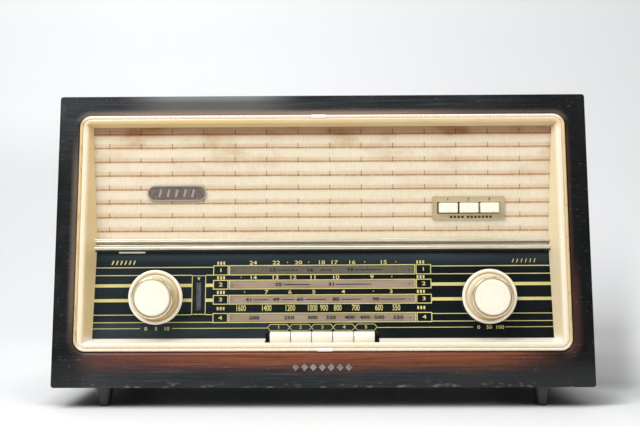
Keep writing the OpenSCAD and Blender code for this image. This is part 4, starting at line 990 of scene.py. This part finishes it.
class RADIO_OT_tone_controls(bpy.types.Operator):
    """Finishes the tone plate with its marks, the three buttons and the badge"""

    bl_idname = "radio.tone_controls"
    bl_label = "Tone controls and badge"

    def execute(self, context):
        dress("tone_plate", "tone_escutcheon", self.plate())
        ivory = glossy_ivory("button ivory", context.scene.radio_knobs)
        for number in range(1, 4):
            dress(f"tone_button_{number}", f"ivory_button_{number}", ivory, f"button_{number}")
        self.marks()
        self.badge()
        return {"FINISHED"}

    @staticmethod
    def plate():
        """Dull gilt, brushed along the plate, darker and greyer toward its ends, with a painted shade along its
        upper edge.
        """
        low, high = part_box("tone_plate")
        finish = Finish("dull gilt", metallic=0.45)
        brushed = finish.noise((180, 60, 10), 3.0) * 0.6 + finish.noise((9, 3, 0.5), 3.0, seed=7.0) * 0.4
        bare = paint("dcc79c")
        gilt = finish.ramp(brushed, (0.3, tinted(bare, 0.86)), (0.7, tinted(bare, 1.16)))
        ends = abs(finish.x - (low.x + high.x) / 2 / MM).rise(22, 38)
        # Painted shade along the upper edge.
        top = finish.z.rise(high.z / MM - 8, high.z / MM - 2) * 0.8
        finish.set(colour=finish.mix(ends.upper(top) * 0.5, gilt, paint("aca282")),
                   roughness=brushed * 0.16 + 0.34)
        finish.relief(brushed * 0.01)
        return finish

    @staticmethod
    def marks():
        low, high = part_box("tone_plate")
        middle = Vector(((low.x + high.x) / 2, low.y, (low.z + high.z) / 2))
        plane = Matrix.Translation(middle) @ Matrix.Rotation(math.pi / 2, 4, "X") @ Matrix.Scale(MM, 4)
        ink = Print(plane, 0.01)
        for number in (1, 2, 3):
            ink.figures(str(number), (number - 2) * 22, 9.2, 3.0, 1.3)
        for step in (-9, -7, -5, -3, 0, 2, 4, 6, 8, 10, 12):
            ink.bar(step * 2 - 2.0, step * 2 + 0.8, -11.0, -8.4)
        ink.finish("tone_marks", worked("mark ink", paint("3a3228"), 0.5, grain=(2, 2, 2), depth=0.004))

    @staticmethod
    def badge():
        """Dark metal with a pale raised rim."""
        finish = Finish("badge metal", metallic=0.6, roughness=0.32)
        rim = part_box("badge_plate")[0].y / MM + 0.25
        raised = finish.y.rise(rim + 0.15, rim - 0.1)
        speck = finish.noise((3, 3, 3), 3.0)
        dark = finish.ramp(speck, (0.3, paint("776963")), (0.7, paint("9a8b80")))
        finish.set(colour=finish.mix(raised, dark, paint("c8beb0")))
        finish.relief(speck * 0.01)
        dress("badge_plate", "rounded_badge", finish)


class RADIO_OT_back(bpy.types.Operator):
    """Finishes the back cover, the sockets, the grommet and the screws"""

    bl_idname = "radio.back"
    bl_label = "Back"

    def execute(self, context):
        dress("back_cover", "pressed_back", self.hardboard("pressed board", "7a5a38"))
        dress("baffle_board", "raw_baffle", self.hardboard("raw board", "8a6b45"))
        dress("rear_sockets", "socket_bushings", worked("brown phenolic", paint("4c2e1a"), 0.35, spread=0.2))
        dress("cord_grommet", "rubber_grommet", worked("black rubber", paint("1c1c1c"), 0.6))
        dress("case_screws", "cover_screws", worked("brassed steel", paint("b9a468"), 0.3, 1.0, spread=0.2))
        return {"FINISHED"}

    @staticmethod
    def hardboard(name, code):
        """Pressed fibre board: smooth, mottled, with darker fibres."""
        finish = Finish(name, specular=0.3)
        mottle = finish.noise((14, 14, 14), 5.0)
        fibre = finish.noise((2.2, 2.2, 0.5), 4.0, seed=3.0)
        brown = paint(code)
        colour = finish.ramp(mottle * 0.5 + fibre * 0.5, (0.32, tinted(brown, 0.62)), (0.5, brown),
                             (0.68, tinted(brown, 1.35)))
        finish.set(colour=colour, roughness=fibre * 0.2 + 0.55)
        finish.relief(fibre * 0.06)
        return finish


class RADIO_OT_works(bpy.types.Operator):
    """Finishes the works inside the cabinet: chassis, tubes, drive, speaker and transformers"""

    bl_idname = "radio.works"
    bl_label = "Works"

    FINISHES = (
        ("zinc plate", "9ea3a5", 0.38, 0.9, (5, 5, 5),
         ("dial_frame", "chassis", "key_rack", "volume_control")),
        ("ground steel", "c2c4c6", 0.22, 1.0, (9, 0.5, 0.5),
         ("key_pivot_rod", "pointer_rail", "volume_shaft", "tuning_shaft")),
        ("turned brass", "c6a95e", 0.26, 1.0, (1, 3, 1), ("tuning_bush", "pulley_left", "pulley_right")),
        ("drawn aluminium", "c8cacc", 0.32, 1.0, (1, 1, 6),
         ("if_cans", "filter_capacitor", "capacitor_stator", "capacitor_rotor")),
        ("brown moulding", "4c2e1a", 0.38, 0.0, (3, 3, 3), ("tone_switch", "tube_sockets", "band_switch")),
        ("varnished iron", "443c36", 0.5, 0.4, (9, 9, 0.5), ("output_transformer", "mains_transformer")),
        ("ferrite", "35332f", 0.45, 0.1, (2, 2, 2), ("ferrite_aerial", "speaker_magnet")),
        ("pressed steel paint", "42474a", 0.4, 0.0, (3, 3, 3), ("speaker_basket",)),
        ("felted paper", "3c342c", 0.85, 0.0, (1.5, 1.5, 1.5), ("speaker_cone",)),
        ("pale moulding", "d0c090", 0.4, 0.0, (4, 4, 4), ("cord_drum",)),
        ("waxed fibre", "4a3826", 0.7, 0.0, (0.8, 0.8, 0.8), ("drive_cord",)),
    )

    def execute(self, context):
        for name, code, roughness, metallic, grain, nodes in self.FINISHES:
            finish = worked(name, paint(code), roughness, metallic, grain)
            for node in nodes:
                self.coat(node, finish)
        self.coat("radio_tubes", worked("tube glass", paint("c4ccd0"), 0.12, grain=(9, 9, 9), coat_weight=0.5,
                                        alpha=0.45))
        self.coat("dial_lamps", worked("lamp glass", paint("e8d8a4"), 0.1, alpha=0.55))
        return {"FINISHED"}

    @staticmethod
    def coat(node, finish):
        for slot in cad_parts[node].material_slots:
            slot.material = finish.material


class RADIO_OT_studio(bpy.types.Operator):
    """Sets up the pale floor with its curved backdrop, the lamps and the light of the studio"""

    bl_idname = "radio.studio"
    bl_label = "Studio"

    def execute(self, context):
        look = context.scene.radio_studio
        self.backdrop(self.paper(look))
        self.lamp("key_light", (-1.15, -1.35, 1.8), (0, 0, 0.12), 1.2, look.key)
        self.lamp("fill_light", (1.3, -1.6, 1.25), (0, 0, 0.12), 1.0, look.fill)
        self.lamp("top_light", (0, -0.75, 2.1), (0, -0.2, 0), 1.1, look.top)
        self.lamp("backdrop_light", (-0.7, 0.7, 2.1), (-0.6, 1.6, 0.5), 1.0, look.backdrop)
        self.surround_light(context.scene, look.sky)
        context.scene.view_settings.view_transform = "Standard"
        return {"FINISHED"}

    @staticmethod
    def backdrop(paper):
        """A floor that curves up into a wall behind the radio."""
        bm = bmesh.new()
        bmesh.ops.create_grid(bm, x_segments=1, y_segments=1, size=1,
                              matrix=Matrix.Translation((0, -3, 0)) @ Matrix.Diagonal((6, 3.8, 1, 1)))
        rear = [edge for edge in bm.edges if all(vert.co.y > 0.7 for vert in edge.verts)]
        bent = bmesh.ops.spin(bm, geom=rear + list(rear[0].verts), cent=(0, 0.8, 0.8), axis=(1, 0, 0),
                              angle=math.pi / 2, steps=24)
        top = [part for part in bent["geom_last"] if isinstance(part, bmesh.types.BMEdge)]
        wall = bmesh.ops.extrude_edge_only(bm, edges=top)["geom"]
        bmesh.ops.translate(bm, verts=[part for part in wall if isinstance(part, bmesh.types.BMVert)],
                            vec=(0, 0, 3))
        bmesh.ops.remove_doubles(bm, verts=bm.verts, dist=1e-5)
        bmesh.ops.recalc_face_normals(bm, faces=bm.faces)
        for face in bm.faces:
            face.smooth = True
        mesh = bpy.data.meshes.new("studio_floor")
        bm.to_mesh(mesh)
        bm.free()
        mesh.materials.append(paper.material)
        floor = bpy.data.objects.new("studio_floor", mesh)
        bpy.context.scene.collection.objects.link(floor)

    @staticmethod
    def paper(look):
        """Pale paper with painted shade in front and at the left, a painted contact shadow under the radio and
        a painted shadow behind its right side.
        """
        finish = Finish("studio paper", specular=0.2)
        x, y, z = finish.x, finish.y, finish.z
        soft = finish.noise((900, 900, 900), 2.0)
        pale = finish.ramp(soft, (0.3, tinted(look.floor, 0.97)), (0.7, look.floor))
        # Painted shadow of the radio, running from its right side back along the floor, widening and fading as
        # it goes.
        sideways = (x - 317 - y * 0.296) / (y * 0.001 + 1)
        painted_shadow_strip = sideways.near(0, 19, 52) * y.rise(-60, 60) * y.rise(1450, 650)
        # Painted contact shadow round the foot print, deepest at its ends.
        across = (abs(x - 12) - 235).upper(0.0)
        along = ((y + 85) * -4).upper(y - 130).upper(0.0)
        painted_contact_shadow = (across * across + along * along).math("SQRT").rise(115, 0) * z.rise(4, 1)
        painted_contact_shadow = painted_contact_shadow * (abs(x - 12).rise(150, 240) * 0.65 + 0.2)
        # Painted shade over the floor in front and at the left.
        front = y.rise(600, 100).upper(x.rise(-280, -430) * z.rise(600, 350))
        shade = (painted_shadow_strip * 0.55).upper(painted_contact_shadow).upper(front * 0.14)
        finish.set(colour=finish.mix(shade, pale, paint("4a4746"), "MULTIPLY"), roughness=0.7)
        return finish

    @staticmethod
    def lamp(name, place, target, size, power):
        light = bpy.data.lights.new(name, "AREA")
        light.shape = "SQUARE"
        light.size = size
        light.energy = power
        lamp = bpy.data.objects.new(name, light)
        lamp.location = place
        lamp.rotation_euler = (Vector(target) - Vector(place)).to_track_quat("-Z", "Y").to_euler()
        bpy.context.scene.collection.objects.link(lamp)

    @staticmethod
    def surround_light(scene, strength):
        """Light that is bright overhead and behind, and dim on the viewer's side."""
        world = bpy.data.worlds.new("studio light")
        world.use_nodes = True
        tree = world.node_tree
        background = tree.nodes["Background"]
        direction = tree.nodes.new("ShaderNodeTexCoord")
        apart = tree.nodes.new("ShaderNodeSeparateXYZ")
        ramp = tree.nodes.new("ShaderNodeValToRGB")
        tree.links.new(direction.outputs["Generated"], apart.inputs[0])
        bright = apart.outputs["Z"]
        for axis, weight in (("Y", 0.45), ("X", -0.15)):
            node = tree.nodes.new("ShaderNodeMath")
            node.operation = "MULTIPLY_ADD"
            node.inputs[1].default_value = weight
            tree.links.new(apart.outputs[axis], node.inputs[0])
            tree.links.new(bright, node.inputs[2])
            bright = node.outputs[0]
        tree.links.new(bright, ramp.inputs[0])
        tree.links.new(ramp.outputs[0], background.inputs["Color"])
        for element, place, colour in zip(ramp.color_ramp.elements, (0.0, 0.55),
                                          ((0.11, 0.114, 0.117, 1), (1, 1, 1, 1))):
            element.position = place
            element.color = colour
        background.inputs["Strength"].default_value = strength
        scene.world = world


class RADIO_PT_pieces(bpy.types.Panel):
    """Sizes and colours of the radio, and the buttons that build its pieces"""

    bl_idname = "RADIO_PT_pieces"
    bl_label = "Tube table radio"
    bl_space_type = "VIEW_3D"
    bl_region_type = "UI"
    bl_category = "Radio"

    def draw(self, context):
        for name, group in LOOKS.items():
            looks = getattr(context.scene, name)
            column = self.layout.column(align=True)
            column.label(text=group.__name__)
            for setting in group.__annotations__:
                column.prop(looks, setting)
        for operator in OPERATORS:
            self.layout.operator(operator.bl_idname)


LOOKS = {
    "radio_cabinet": CabinetLook,
    "radio_surround": SurroundLook,
    "radio_cloth": ClothLook,
    "radio_dial": DialLook,
    "radio_knobs": KnobLook,
    "radio_studio": StudioLook,
}
OPERATORS = (
    RADIO_OT_camera,
    RADIO_OT_cabinet,
    RADIO_OT_surround,
    RADIO_OT_grille_cloth,
    RADIO_OT_dial,
    RADIO_OT_dial_print,
    RADIO_OT_knobs,
    RADIO_OT_keys,
    RADIO_OT_tone_controls,
    RADIO_OT_back,
    RADIO_OT_works,
    RADIO_OT_studio,
)


def register():
    for group in LOOKS.values():
        bpy.utils.register_class(group)
    for part in (*OPERATORS, RADIO_PT_pieces):
        bpy.utils.register_class(part)
    for name, group in LOOKS.items():
        setattr(bpy.types.Scene, name, PointerProperty(type=group))


def unregister():
    for name in LOOKS:
        delattr(bpy.types.Scene, name)
    for part in (*OPERATORS, RADIO_PT_pieces, *LOOKS.values()):
        bpy.utils.unregister_class(part)


def main():
    register()
    bpy.ops.radio.camera()
    bpy.ops.radio.cabinet()
    bpy.ops.radio.surround()
    bpy.ops.radio.grille_cloth()
    bpy.ops.radio.dial()
    bpy.ops.radio.dial_print()
    bpy.ops.radio.knobs()
    bpy.ops.radio.keys()
    bpy.ops.radio.tone_controls()
    bpy.ops.radio.back()
    bpy.ops.radio.works()
    bpy.ops.radio.studio()


if __name__ == "__main__":
    main()
